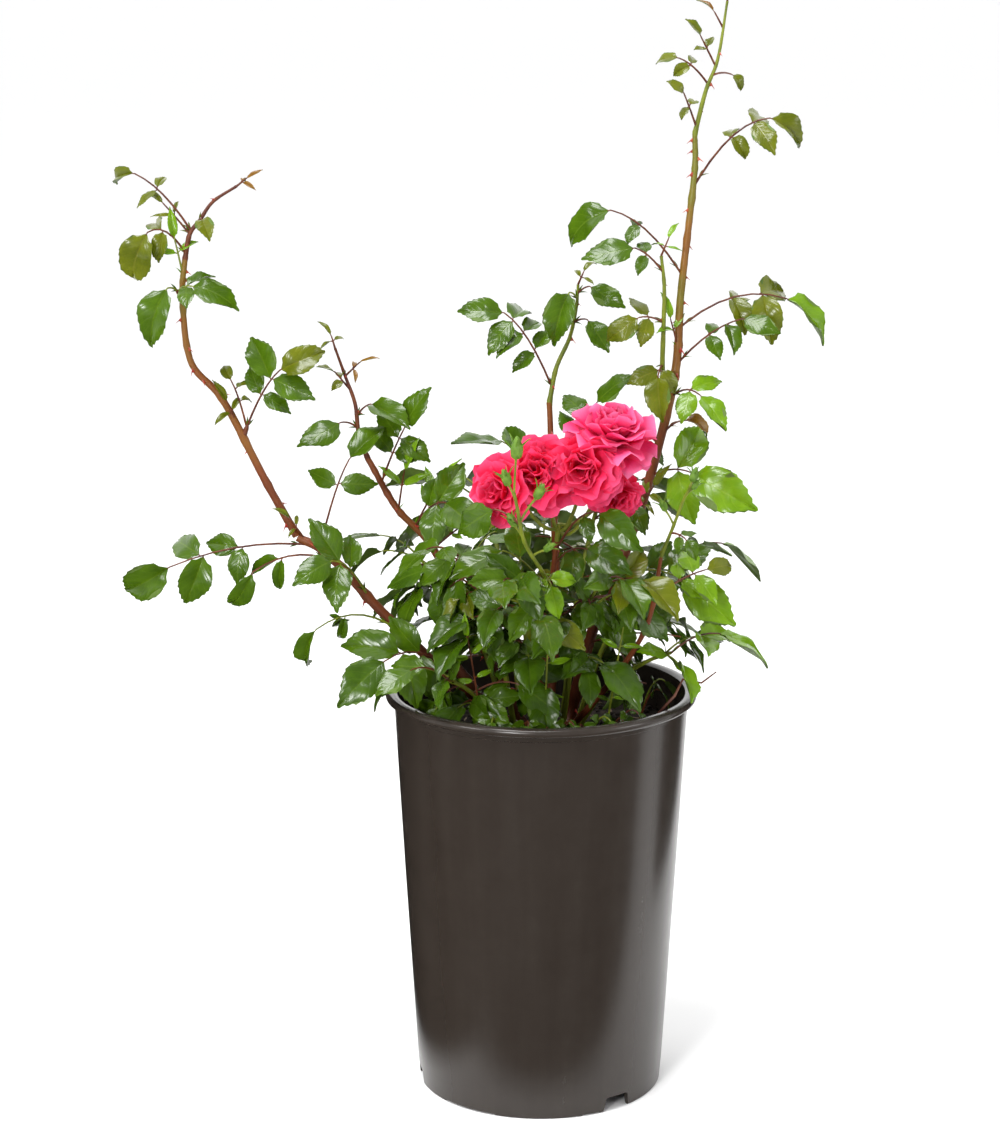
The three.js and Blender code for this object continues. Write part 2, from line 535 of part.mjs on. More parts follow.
// Routes are given from the shoot's own foot. One without a place on its cane goes on from its tip.
const SHOOTS = {
  right_cane_top: { cane: 'right_cane', radii: [1.5, 0.7],
    route: [[0, 0, 0], [6, 2, 24], [13, 3, 43], [18, 4, 76]],
    leaves: [
      { on: 0.04, reach: [-8, -9, 20], size: 15, pairs: 1, arch: 0.02, tilt: 40 },
      { on: 0.4, reach: [-17, 2, 15], size: 17, pairs: 1, tilt: 40 },
      { on: 0.5, reach: [11, -4, 1], size: 14, pairs: 0, tilt: 40 },
      { on: 0.6, reach: [-9, -3, 17], size: 15, pairs: 1, arch: 0, tilt: 30 },
      { on: 0.85, reach: [-5, 2, 9], size: 14, pairs: 0, arch: 0, tilt: 20 },
      { on: 1, reach: [1, 0, 7], size: 13, pairs: 1, arch: 0, tilt: 20 }] },
  left_cane_top: { cane: 'left_upper_cane', radii: [1.6, 0.8],
    route: [[0, 0, 0], [3, 0, 14], [9, 0, 22], [17, 1, 33], [31, 2, 42]],
    leaves: [
      { on: 0.04, reach: [-21, -11, 14], size: 38, pairs: 1, arch: 0.24, tilt: 50, hang: 0.6, sides: 0.7 },
      { on: 0.3, reach: [-36, 6, 36], size: 16, pairs: 3, arch: 0.04, tilt: 40 },
      { on: 0.5, reach: [2, -9, 2], size: 20, pairs: 0, tilt: 60 },
      { on: 1, reach: [5, 0, 4], size: 13, pairs: 1, arch: 0, tilt: 30 }] },
  right_side_shoot: { cane: 'right_cane', at: 0.49, radii: [1.8, 0.9],
    route: [[0, 0, 0], [-4, -4, 8], [-4, -8, 36], [-4, -10, 60], [-6, -10, 78]],
    leaves: [
      { on: 0.3, reach: [-3, -10, -5], size: 27, pairs: 1, tilt: 60 },
      { on: 0.52, reach: [-15, -6, 4], size: 25, pairs: 1, tilt: 45 },
      { on: 0.86, reach: [-17, -5, 15], size: 33, pairs: 1, tilt: 35, hang: 0.4, sides: 0.6 },
      { on: 1, reach: [4, 3, 9], size: 14, pairs: 1, arch: 0, tilt: 20 }] },
  mid_left_cane_top: { cane: 'mid_left_cane', radii: [1.7, 0.8],
    route: [[0, 0, 0], [-5, 2, 14], [-7, 3, 32], [-13, 5, 49], [-19, 6, 66]],
    leaves: [
      { on: 0.3, reach: [-10, -9, 5], size: 30, pairs: 0, tilt: 55 },
      { on: 0.4, reach: [9, -9, 9], size: 32, pairs: 0, tilt: 45 },
      { on: 0.62, reach: [-9, -5, 12], size: 15, pairs: 1, arch: 0, tilt: 30 },
      { on: 0.75, reach: [8, -3, 8], size: 15, pairs: 1, arch: 0, tilt: 30 },
      { on: 1, reach: [-2, 0, 7], size: 15, pairs: 1, arch: 0, tilt: 20 }] },
  middle_cane_top: { cane: 'middle_cane', radii: [1.6, 0.8],
    route: [[0, 0, 0], [4, 2, 20], [12, 4, 38], [16, 6, 56], [17, 6, 70]],
    leaves: [
      { on: 0.1, reach: [-29, -4, 46], size: 31, pairs: 3, arch: 0.12, tilt: 40, hang: 0.4 },
      { on: 0.84, reach: [-5, -8, 5], size: 32, pairs: 0, tilt: 65, hang: 1.2 },
      { on: 0.62, reach: [8, -7, 3], size: 25, pairs: 0, tilt: 45, hang: 0.7 },
      { on: 0.9, reach: [7, -5, 5], size: 25, pairs: 0, tilt: 45, hang: 0.7 },
      { on: 1, reach: [3, 0, 7], size: 14, pairs: 1, arch: 0, tilt: 20 }] },
  right_bud_shoot: { cane: 'bud_cane', radii: [1.1, 0.7],
    route: [[0, 0, 0], [5, -4, 14], [11, -8, 32], [15, -12, 42]],
    buds: [{ on: 0.4, reach: [-5, -1, 9], size: 8 }, { on: 0.75, reach: [4, -1, 5], size: 7 },
      { on: 1, reach: [1, 0, 3], size: 9 }],
    leaves: [{ on: 0.3, reach: [8, -5, -2], size: 15, pairs: 1, tilt: 40 }] },
  front_bud_shoot: { cane: 'flower_cane', at: 0.7, radii: [1.3, 0.9],
    route: [[0, 0, 0], [-3, -18, 2], [-8, -40, 14], [-17, -58, 33], [-21, -69, 54], [-23, -70, 64]],
    buds: [{ on: 0.5, reach: [7, -2, 4], size: 8 }, { on: 0.62, reach: [-5, -1, 8], size: 9 },
      { on: 0.72, reach: [9, -1, 14], size: 10 }, { on: 0.9, reach: [-4, 0, 9], size: 10 },
      { on: 1, reach: [1, 0, 20], size: 13 }],
    leaves: [
      { on: 0.32, reach: [4, -8, -4], size: 24, pairs: 1, tilt: 50 },
      { on: 0.7, reach: [-15, 8, 8], size: 34, pairs: 0, tilt: 60, hang: 0.7 }] },
};

// A bud on its own short stalk.
function stalkedBud(route, bud) {
  const foot = route.getPoint(bud.on);
  const reach = vector(bud.reach);
  const tip = foot.clone().add(reach);
  const stalk = limb(new THREE.LineCurve3(foot, tip), 0.9, 0.8, 3, [0, 1]);
  return [stalk, budSolid(tip, reach.clone().normalize(), bud.size)];
}

Object.entries(SHOOTS).forEach(([name, shoot], number) => {
  const cane = limbs[shoot.cane];
  const points = shoot.route.map(vector);
  const first = points[1].clone().normalize();
  const start = springPoint(cane, shoot.at ?? 1, first, shoot.radii[0], 4);
  const route = routeOf(points.map((point) => point.add(start).toArray()));
  const parts = [limb(route, ...shoot.radii, 4, evenly(2 * points.length - 2))];
  (shoot.buds ?? []).forEach((bud) => parts.push(...stalkedBud(route, bud)));
  const leaves = shoot.leaves.map((leaf) => (
    { ...leaf, foot: route.getPoint(leaf.on), reach: vector(leaf.reach) }));
  leafMass(name, joined(parts), leaves, FRONT, 500 + number * 23);
});

// ---- low leafy stems that fill the bush on all sides ------------------------------------------

// Each low stem leans out from the soil by its bearing, reach and height, and carries its leaves
// by the turn that rose leaves take round a stem.
const LOW_STEMS = {
  back_left_mass: { bearing: 122, foot: 22, reach: 70, height: 135, leaves: 5 },
  back_right_mass: { bearing: 55, foot: 24, reach: 72, height: 142, leaves: 5 },
  back_middle_mass: { bearing: 88, foot: 25, reach: 62, height: 96, leaves: 5 },
  left_back_mass: { bearing: 158, foot: 22, reach: 78, height: 98, leaves: 5 },
  right_back_mass: { bearing: 22, foot: 24, reach: 84, height: 96, leaves: 5 },
  right_front_mass: { bearing: -12, foot: 22, reach: 80, height: 52, leaves: 4 },
  front_right_mass: { bearing: -58, foot: 23, reach: 60, height: 100, leaves: 6 },
  front_middle_mass: { bearing: -104, foot: 22, reach: 58, height: 96, leaves: 6 },
  front_left_mass: { bearing: -138, foot: 21, reach: 64, height: 116, leaves: 6 },
  left_front_mass: { bearing: 224, foot: 34, reach: 76, height: 44, leaves: 4 },
};
const LEAF_TURN = 137.5;
const LOW_STEM_RADII = [1.9, 1.0];

Object.entries(LOW_STEMS).forEach(([name, low], number) => {
  const seed = 800 + number * 31;
  const outward = new THREE.Vector3(Math.cos(radians(low.bearing)), Math.sin(radians(low.bearing)), 0);
  const at = (share, rise) => outward.clone().multiplyScalar(low.foot + share * (low.reach - low.foot))
    .setZ(GROUND - 1 + rise * low.height).toArray();
  const route = routeOf([at(0, 0), at(0.3, 0.5), at(0.7, 0.85), at(1, 1)]);
  const leaves = [];
  for (let k = 0; k < low.leaves; k += 1) {
    const on = 0.32 + 0.68 * k / (low.leaves - 1);
    const turn = radians(low.bearing + LEAF_TURN * k + spread(seed + k, 20));
    const last = k === low.leaves - 1;
    const reach = new THREE.Vector3(Math.cos(turn), Math.sin(turn), 0).multiplyScalar(last ? 0 : 1);
    reach.addScaledVector(outward, last ? 1 : 0.45).normalize();
    reach.addScaledVector(UP, 0.35 + spread(seed * 3 + k, 0.2)).multiplyScalar(31 + spread(seed * 5 + k, 6));
    const size = 34 + spread(seed * 7 + k, 4);
    leaves.push({ foot: route.getPoint(on), reach, size, pairs: 1, arch: 0.12, tilt: 45 });
  }
  leafMass(name, stem(route, ...LOW_STEM_RADII, 4, evenly(6), false), leaves, outward, seed);
});

export default rose;
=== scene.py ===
"""A small repeat-flowering garden rose in its tall nursery pot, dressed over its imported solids.

Metres, +Z up. The origin is the centre of the pot's underside, and the front faces -Y.
"""
import math

import bpy
import numpy as np
from mathutils import Matrix, Vector
from mathutils.bvhtree import BVHTree


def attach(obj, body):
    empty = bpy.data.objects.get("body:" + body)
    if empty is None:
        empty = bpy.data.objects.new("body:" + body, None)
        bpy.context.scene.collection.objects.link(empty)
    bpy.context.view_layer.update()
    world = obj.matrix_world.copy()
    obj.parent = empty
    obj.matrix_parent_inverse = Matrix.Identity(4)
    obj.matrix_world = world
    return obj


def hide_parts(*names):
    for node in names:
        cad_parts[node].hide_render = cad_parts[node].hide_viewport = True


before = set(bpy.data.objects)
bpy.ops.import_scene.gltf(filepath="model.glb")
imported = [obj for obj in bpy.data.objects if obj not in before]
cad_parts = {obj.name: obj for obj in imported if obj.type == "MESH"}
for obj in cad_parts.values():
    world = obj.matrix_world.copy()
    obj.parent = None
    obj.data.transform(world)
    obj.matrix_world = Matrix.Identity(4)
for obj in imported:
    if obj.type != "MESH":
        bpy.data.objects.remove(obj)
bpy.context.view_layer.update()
bpy.ops.object.select_all(action="DESELECT")


# ---- the studio -------------------------------------------------------------------------
# A plain white table under a soft overhead light, with a lamp at each side and one in front, in a
# room that is brighter behind the plant and is itself seen as plain white. Black cards round the pot
# are seen in its gloss alone. The camera stands a little above the plant's middle and looks down.
def set_node(node, **settings):
    """Sets a node's sockets and settings by name. Where the value is a socket, it is linked."""
    for name, value in settings.items():
        socket = node.inputs.get(name.replace("_", " "))
        if isinstance(value, bpy.types.NodeSocket):
            node.id_data.links.new(value, socket)
        elif socket is not None:
            socket.default_value = value
        else:
            setattr(node, name, value)
    return node


def add_node(tree, kind, **settings):
    """Adds a shader node."""
    return set_node(tree.nodes.new("ShaderNode" + kind), **settings)


def new_material(name, **settings):
    """A new material with its node tree and its main shader, whose sockets are set by name."""
    material = bpy.data.materials.new(name)
    material.use_nodes = True
    tree = material.node_tree
    return material, tree, set_node(tree.nodes["Principled BSDF"], **settings)


def colour_ramp(tree, factor, stops):
    """A ramp of colours driven by a socket."""
    ramp = add_node(tree, "ValToRGB", Fac=factor)
    elements = ramp.color_ramp.elements
    while len(elements) < len(stops):
        elements.new(0.5)
    for element, (place, colour) in zip(elements, stops):
        element.position = place
        element.color = (*colour, 1)
    return ramp.outputs["Color"]


def remap(tree, value, low, high, first=0.0, last=1.0):
    """A socket's run from low to high, turned into a run from first to last."""
    node = add_node(tree, "MapRange", Value=value, From_Min=low, From_Max=high, To_Min=first, To_Max=last)
    return node.outputs["Result"]


def mixed(tree, share, one, other, **settings):
    """One colour turned into another by a share."""
    node = add_node(tree, "Mix", data_type="RGBA", **settings)
    return set_node(node, Factor=share, A=one, B=other).outputs["Result"]


def object_place(tree):
    """Where a point lies on its own piece."""
    return add_node(tree, "TexCoord").outputs["Object"]


bpy.ops.mesh.primitive_plane_add(size=60)
table = bpy.context.object
table.name = "white_table"
bpy.ops.object.mode_set(mode="EDIT")
bpy.ops.mesh.subdivide(number_cuts=3)
bpy.ops.object.mode_set(mode="OBJECT")
material, tree, shader = new_material("white_table", Roughness=0.7)
haze = add_node(tree, "TexNoise", Scale=0.6, Detail=2.0)
white = colour_ramp(tree, haze.outputs["Fac"], [(0.3, (0.94, 0.94, 0.935)), (0.7, (0.96, 0.96, 0.96))])
set_node(shader, Base_Color=white)
table.data.materials.append(material)

world = bpy.data.worlds.new("soft_room")
bpy.context.scene.world = world
world.use_nodes = True
tree = world.node_tree
split = add_node(tree, "SeparateXYZ", Vector=add_node(tree, "TexCoord").outputs["Generated"])
glow = colour_ramp(tree, remap(tree, split.outputs["Y"], -0.5, 0.6),
                   [(0.0, (0.20, 0.20, 0.21)), (0.45, (0.45, 0.45, 0.45)), (0.9, (1.0, 1.0, 1.0))])
seen = add_node(tree, "LightPath").outputs["Is Camera Ray"]
backdrop = mixed(tree, seen, glow, (0.56, 0.56, 0.56, 1))
set_node(tree.nodes["Background"], Color=backdrop, Strength=1.75)

AIM = (0, 0, 0.35)                # what the lamps look at
LIGHTS = {                        # each lamp's place, size and power
    "overhead": ((-0.35, -0.6, 2.4), 0.9, 50),
    "left": ((-1.9, -1.3, 1.7), 0.6, 20),
    "right": ((2.1, -0.9, 1.0), 0.8, 12),
    "front": ((-0.80, -2.0, 0.9), 0.35, 26),
}
for name, (place, size, power) in LIGHTS.items():
    lamp = bpy.data.lights.new(name, "AREA")
    lamp.size = size
    lamp.energy = power
    holder = bpy.data.objects.new(name, lamp)
    holder.location = place
    holder.rotation_euler = (Vector(AIM) - Vector(place)).to_track_quat("-Z", "Y").to_euler()
    bpy.context.scene.collection.objects.link(holder)

# Two cards stand and two lie on the table. Each has its place, how far it is tipped up, its size,
# and where a lying one fades out by the pot.
CARDS = {
    "card_left": ((-0.18, 0.17, 0.33), 90, (0.66, 0.44), None),
    "card_right": ((0.365, 0.27, 0.33), 90, (0.66, 0.42), None),
    "card_front": ((-0.2, -0.9, 0.004), 0, (2.4, 1.64), ("Y", -0.082, -0.12)),
    "card_side": ((-0.7, 0.28, 0.006), 0, (1.24, 0.8), ("X", -0.082, -0.115)),
}
for name, (place, tip, size, fading) in CARDS.items():
    bpy.ops.mesh.primitive_plane_add(size=1, location=place, rotation=(0, math.radians(tip), 0))
    card = bpy.context.object
    card.name = name
    card.scale = (*size, 1)
    bpy.ops.object.transform_apply()
    material, tree, shader = new_material(name + "_felt", Roughness=1.0, Specular_IOR_Level=0.0)
    felt = add_node(tree, "TexNoise", Scale=40.0)
    black = [(0.3, (0.002, 0.002, 0.002)), (0.7, (0.004, 0.004, 0.004))]
    set_node(shader, Base_Color=colour_ramp(tree, felt.outputs["Fac"], black))
    if fading:
        axis, near, far = fading
        across = add_node(tree, "SeparateXYZ", Vector=object_place(tree))
        set_node(shader, Alpha=remap(tree, across.outputs[axis], near, far))
    card.data.materials.append(material)
    card.visible_camera = False
    card.visible_diffuse = False
    card.visible_shadow = False

LOOKING_DOWN = 13.0               # degrees below level
lens = bpy.data.cameras.new("camera")
lens.sensor_width = 36
lens.lens = 92.7
camera = bpy.data.objects.new("camera", lens)
camera.location = (-0.025, -1.730, 0.723)
camera.rotation_euler = (math.radians(90 - LOOKING_DOWN), 0, 0)
bpy.context.scene.collection.objects.link(camera)
bpy.context.scene.camera = camera
bpy.context.scene.view_settings.view_transform = "Standard"


# ---- the pot ------------------------------------------------------------------------------
# A thin nursery pot, injection moulded in recycled black-brown plastic: a plain wall with a
# slight taper, a rolled lip, and a foot ring with three drain notches round a raised floor.
MM = 0.001
POT_HEIGHT = 250
POT_RIM = 95                      # radius over the lip
POT_FOOT = 75
POT_WALL = 2
LIP = 5                           # how far the lip stands out, and how deep it is
FLOOR_HEIGHT = 12
PAD = 26                          # radius of the middle pad that the pot also rests on
DRAIN_BEARINGS = (-52, 68, 188)
DRAIN_WIDTH = 23
DRAIN_HEIGHT = 9
POT_SIDES = 128


def pick(test, kind="verts"):
    """In edit mode, selects just the points or faces whose place in mm passes the test, or the edges
    whose two ends together pass it."""
    bpy.ops.object.mode_set(mode="OBJECT")
    mesh = bpy.context.object.data
    for group in (mesh.polygons, mesh.edges, mesh.vertices):
        group.foreach_set("select", np.zeros(len(group), dtype=bool))
    places = [v.co / MM for v in mesh.vertices]
    if kind == "verts":
        for vertex in mesh.vertices:
            vertex.select = test(places[vertex.index])
    elif kind == "edges":
        for edge in mesh.edges:
            edge.select = test(*(places[i] for i in edge.vertices))
    else:
        for face in mesh.polygons:
            face.select = test(face.center / MM)
    bpy.ops.object.mode_set(mode="EDIT")
    modes = {"verts": "VERT", "edges": "EDGE", "faces": "FACE"}
    bpy.ops.mesh.select_mode(type=modes[kind])


def scale_picked(x, y, z, about=(0, 0, 0)):
    """Scales what is picked about a point in mm."""
    bpy.ops.transform.resize(value=(x, y, z), center_override=[place * MM for place in about])


def move_picked(x, y, z):
    """Moves what is picked, in mm."""
    bpy.ops.transform.translate(value=(x * MM, y * MM, z * MM))


def pick_piece(piece):
    """Selects one piece alone and makes it the active one."""
    bpy.ops.object.select_all(action="DESELECT")
    piece.select_set(True)
    bpy.context.view_layer.objects.active = piece


def apply_all(piece):
    """Applies a piece's place and modifiers, so that all of it is in its mesh."""
    pick_piece(piece)
    bpy.ops.object.transform_apply()
    for modifier in list(piece.modifiers):
        bpy.ops.object.modifier_apply(modifier=modifier.name)


def emboss(shader, height, strength, depth):
    """Raises and sinks a surface by a pattern, over the depth in metres."""
    relief = add_node(shader.id_data, "Bump", Height=height, Strength=strength, Distance=depth)
    set_node(shader, Normal=relief.outputs["Normal"])


wall_top = POT_RIM - LIP
outline = [
    (PAD - 1.5, 0), (PAD, 0.6), (PAD + 3, FLOOR_HEIGHT), (POT_FOOT - 4, FLOOR_HEIGHT),
    (POT_FOOT - 3, 0.5), (POT_FOOT - 2.5, 0), (POT_FOOT - 0.6, 0), (POT_FOOT, 0.6),
    (POT_FOOT + 0.9, 11.4), (POT_FOOT + 1.0, 12), (POT_FOOT + 8.2, 130),
    (wall_top - 0.5, POT_HEIGHT - 9), (wall_top + 0.4, POT_HEIGHT - 8.4), (wall_top + 0.5, POT_HEIGHT - 5.6),
    (wall_top + 1.2, POT_HEIGHT - LIP), (POT_RIM - 1.2, POT_HEIGHT - LIP), (POT_RIM - 0.3, POT_HEIGHT - 4.2),
    (POT_RIM, POT_HEIGHT - 3), (POT_RIM - 0.2, POT_HEIGHT - 1.4), (POT_RIM - 1.2, POT_HEIGHT - 0.3),
    (POT_RIM - 2.8, POT_HEIGHT), (wall_top - 0.6, POT_HEIGHT - 0.1), (wall_top - POT_WALL, POT_HEIGHT - 1.2),
    (wall_top - POT_WALL - 0.6, POT_HEIGHT - 12), (POT_FOOT - POT_WALL + 0.4, FLOOR_HEIGHT + POT_WALL + 2),
    (POT_FOOT - POT_WALL - 1.5, FLOOR_HEIGHT + POT_WALL), (PAD, FLOOR_HEIGHT + POT_WALL),
    (PAD - 3, POT_WALL),
]
bpy.ops.mesh.primitive_circle_add(vertices=POT_SIDES, radius=outline[0][0] * MM, fill_type="NGON")
pot = bpy.context.object
pot.name = "nursery_pot"
bpy.ops.object.mode_set(mode="EDIT")
bpy.ops.mesh.select_mode(type="EDGE")
bpy.ops.mesh.select_all(action="SELECT")
bpy.ops.mesh.region_to_loop()
for (radius, height), (wider, higher) in zip(outline, outline[1:]):
    bpy.ops.mesh.extrude_edges_move(TRANSFORM_OT_translate={"value": (0, 0, (higher - height) * MM)})
    scale_picked(wider / radius, wider / radius, 1)
bpy.ops.mesh.edge_face_add()
bpy.ops.mesh.select_all(action="SELECT")
bpy.ops.mesh.normals_make_consistent(inside=False)
bpy.ops.object.mode_set(mode="OBJECT")

# The drain notches narrow towards their tops, and shallow steps part the pads of the foot ring.
STEPS = ((-122, 26), (-66, 12), (20, 40), (120, 40), (160, 20), (230, 30))     # bearing and width
CUT = 14                          # how deep the cutters are, across the wall
cutters = []


def add_cutter(bearing, width, height):
    """A block that stands across the foot of the wall, half below the ground, to be cut away."""
    bpy.ops.mesh.primitive_cube_add(size=1, location=(POT_FOOT * MM, 0, 0),
                                    scale=(CUT * MM, width * MM, 2 * height * MM))
    bpy.ops.object.transform_apply()
    cutters.append((bpy.context.object, bearing))


for bearing in DRAIN_BEARINGS:
    add_cutter(bearing, DRAIN_WIDTH, DRAIN_HEIGHT)
    pick(lambda middle: middle.z > 5, "faces")
    scale_picked(1, 0.72, 1, (POT_FOOT, 0, 0))
    bpy.ops.mesh.bevel(offset=1.5 * MM, segments=3, affect="EDGES")
    bpy.ops.object.mode_set(mode="OBJECT")
for bearing, width in STEPS:
    add_cutter(bearing, width, 1)
for cutter, bearing in cutters:
    cutter.rotation_euler = (0, 0, math.radians(bearing))
    cut = pot.modifiers.new("notch", "BOOLEAN")
    cut.operation = "DIFFERENCE"
    cut.solver = "EXACT"
    cut.object = cutter
apply_all(pot)
for cutter, _ in cutters:
    bpy.data.objects.remove(cutter)
bpy.context.view_layer.objects.active = pot
bpy.ops.object.shade_smooth_by_angle(angle=math.radians(38))

# Black-brown plastic: faint flow streaks down the wall and handling scuffs.
material, tree, shader = new_material("black_plastic", Specular_IOR_Level=0.38, IOR=1.5)
place = object_place(tree)
stretch = add_node(tree, "Mapping", Vector=place, Scale=(60, 60, 1.5))
streaks = add_node(tree, "TexNoise", Vector=stretch.outputs["Vector"], Scale=1.0, Detail=4.0, Roughness=0.6)
scuffs = add_node(tree, "TexNoise", Vector=place, Scale=38.0, Detail=6.0, Roughness=0.7)
blend = add_node(tree, "Mix", data_type="FLOAT", Factor=0.45)
wear = set_node(blend, A=streaks.outputs["Fac"], B=scuffs.outputs["Fac"]).outputs["Result"]
plastic = colour_ramp(tree, wear, [(0.3, (0.0226, 0.0169, 0.0132)), (0.55, (0.0275, 0.0211, 0.0166)),
                                   (0.8, (0.0354, 0.0284, 0.0228))])
set_node(shader, Base_Color=plastic, Roughness=remap(tree, wear, 0.3, 0.75, 0.2, 0.3))
emboss(shader, wear, 0.04, 0.0005)
pot.data.materials.append(material)
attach(pot, "root")
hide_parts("pot")


# ---- the compost ----------------------------------------------------------------------------
# Moist peat compost, filled to a little below the rim and pressed down by hand: a lumpy dark
# surface with loose crumbs, and a few pale slivers of bark and straw.
SOIL_LEVEL = 225
SOIL_FOOT = 15
SOIL_GAP = 0.5                    # between the compost and the pot's wall
CRUMBS = 620
SLIVERS = 46


def scatter(seed):
    """An even spread of numbers from 0 to 1, the same for the same seed."""
    wave = math.sin(seed * 127.1) * 43758.5453
    return wave - math.floor(wave)


def spread(seed, amount):
    """An even spread of numbers from minus the amount to the amount."""
    return (scatter(seed) * 2 - 1) * amount


class Heap:
    """Many copies of modelled shapes gathered into one mesh, each point in millimetres."""

    def __init__(self):
        self.points, self.corners, self.sizes, self.uvs, self.finishes = [], [], [], [], []
        self.count = 0

    def add(self, points, shape, finish=0):
        """Adds a shape at new points. Its faces take the finish, or their own where they have one."""
        self.points.append(np.asarray(points, float))
        self.corners.append(shape["corners"] + self.count)
        self.sizes.append(shape["sizes"])
        self.uvs.append(shape["uv"])
        self.finishes.append(np.where(shape["own"] >= 0, shape["own"], finish))
        self.count += len(points)

    def lay(self, shape, finish=0):
        """Adds a shape where it is."""
        self.add(shape["points"], shape, finish)

    def build(self, name, materials, smooth=50):
        """Makes the gathered shapes one piece."""
        mesh = bpy.data.meshes.new(name)
        points = np.concatenate(self.points) * MM
        corners, sizes = np.concatenate(self.corners), np.concatenate(self.sizes)
        mesh.vertices.add(len(points))
        mesh.vertices.foreach_set("co", points.ravel())
        mesh.loops.add(len(corners))
        mesh.loops.foreach_set("vertex_index", corners)
        mesh.polygons.add(len(sizes))
        mesh.polygons.foreach_set("loop_start", np.concatenate(([0], np.cumsum(sizes)[:-1])))
        mesh.polygons.foreach_set("loop_total", sizes)
        mesh.polygons.foreach_set("material_index", np.concatenate(self.finishes))
        layer = mesh.uv_layers.new(name="UVMap")
        layer.data.foreach_set("uv", np.concatenate(self.uvs).ravel())
        for material in materials:
            mesh.materials.append(material)
        mesh.update(calc_edges=True)
        mesh.validate()
        piece = bpy.data.objects.new(name, mesh)
        bpy.context.scene.collection.objects.link(piece)
        pick_piece(piece)
        bpy.ops.object.shade_smooth_by_angle(angle=math.radians(smooth))
        return piece


def shape_of(piece, own=None):
    """A modelled piece as a shape to copy, in mm. The piece itself is removed."""
    mesh = piece.data
    points = np.array([v.co for v in mesh.vertices]) / MM
    corners = np.empty(len(mesh.loops), int)
    mesh.loops.foreach_get("vertex_index", corners)
    sizes = np.array([p.loop_total for p in mesh.polygons])
    uv = np.zeros((len(mesh.loops), 2))
    if mesh.uv_layers:
        flat = np.empty(len(mesh.loops) * 2)
        mesh.uv_layers.active.data.foreach_get("uv", flat)
        uv = flat.reshape(-1, 2)
    side = np.full(len(sizes), -1) if own is None else np.array([own(p) for p in mesh.polygons])
    bpy.data.objects.remove(piece)
    return {"points": points, "corners": corners, "sizes": sizes, "uv": uv, "own": side}


slope = (POT_RIM - LIP - POT_FOOT) / (POT_HEIGHT - FLOOR_HEIGHT)
bottom_radius, top_radius = [POT_FOOT - POT_WALL - SOIL_GAP - 1 + slope * (height - FLOOR_HEIGHT)
                             for height in (SOIL_FOOT, SOIL_LEVEL)]
bpy.ops.mesh.primitive_cone_add(vertices=96, radius1=bottom_radius * MM, radius2=top_radius * MM,
                                depth=(SOIL_LEVEL - SOIL_FOOT - 1) * MM,
                                location=(0, 0, (SOIL_LEVEL + SOIL_FOOT - 2) / 2 * MM))
soil = bpy.context.object
soil.name = "compost"
bpy.ops.object.transform_apply()
pick(lambda middle: middle.z > SOIL_LEVEL - 4, "faces")
for _ in range(14):
    bpy.ops.mesh.inset(thickness=5.2 * MM)
bpy.ops.object.mode_set(mode="OBJECT")
top = np.array([v.co for v in soil.data.vertices]) / MM
for i, (x, y, z) in enumerate(top):
    if z > SOIL_LEVEL - 4 and math.hypot(x, y) < top_radius - 1:
        lump = math.sin(x * 0.13 + 1.7) * math.sin(y * 0.17 + 0.4) + 0.7 * math.sin(x * 0.41 + y * 0.29)
        soil.data.vertices[i].co.z += (1.1 * lump + spread(i + 3, 0.9)) * MM
bpy.ops.object.shade_smooth_by_angle(angle=math.radians(60))


def maths(tree, operation, *values):
    """A sum of sockets and numbers."""
    node = add_node(tree, "Math", operation=operation)
    for socket, value in zip(node.inputs, values):
        if isinstance(value, bpy.types.NodeSocket):
            tree.links.new(value, socket)
        else:
            socket.default_value = value
    return node.outputs[0]


def mottled(name, scale, detail, low, high, **settings):
    """A material mottled between two colours by noise of one scale, with its shader and the noise."""
    material, tree, shader = new_material(name, **settings)
    noise = add_node(tree, "TexNoise", Vector=object_place(tree), Scale=scale, Detail=detail).outputs["Fac"]
    set_node(shader, Base_Color=colour_ramp(tree, noise, [low, high]))
    return material, shader, noise


peat, tree, shader = new_material("peat", Roughness=0.95, Specular_IOR_Level=0.3)
place = object_place(tree)
grain = add_node(tree, "TexNoise", Vector=place, Scale=420.0, Detail=8.0, Roughness=0.75).outputs["Fac"]
clods = add_node(tree, "TexVoronoi", Vector=place, Scale=230.0).outputs["Distance"]
browns = colour_ramp(tree, grain, [(0.3, (0.008, 0.006, 0.005)), (0.55, (0.022, 0.015, 0.010)),
                                   (0.75, (0.06, 0.04, 0.026))])
set_node(shader, Base_Color=browns)
emboss(shader, maths(tree, "MULTIPLY", grain, clods), 0.9, 0.003)
soil.data.materials.append(peat)
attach(soil, "root")
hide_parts("potting_soil")

# Loose crumbs of peat, and the pale slivers.
bpy.ops.mesh.primitive_ico_sphere_add(subdivisions=1, radius=MM)
pick(lambda place: place.z > 0.4)
scale_picked(0.7, 1.1, 0.8)
bpy.ops.object.mode_set(mode="OBJECT")
crumb = shape_of(bpy.context.object)
crumbs = Heap()


def strew(count, seed, margin, height, measures, finish):
    """Strews crumbs over the compost, inside a margin and at a height above it, each stretched to
    its measures and turned at random."""
    for i in range(count):
        reach = math.sqrt(scatter(i * 3 + seed + 1)) * (top_radius - margin)
        turn = scatter(i * 5 + seed + 2) * math.tau
        stretch = Matrix.Rotation(scatter(i + seed + 9) * math.tau, 3, "Z") @ Matrix.Diagonal(measures(i))
        middle = (reach * math.cos(turn), reach * math.sin(turn), SOIL_LEVEL + height)
        crumbs.add(crumb["points"] @ np.array(stretch).T + middle, crumb, finish)


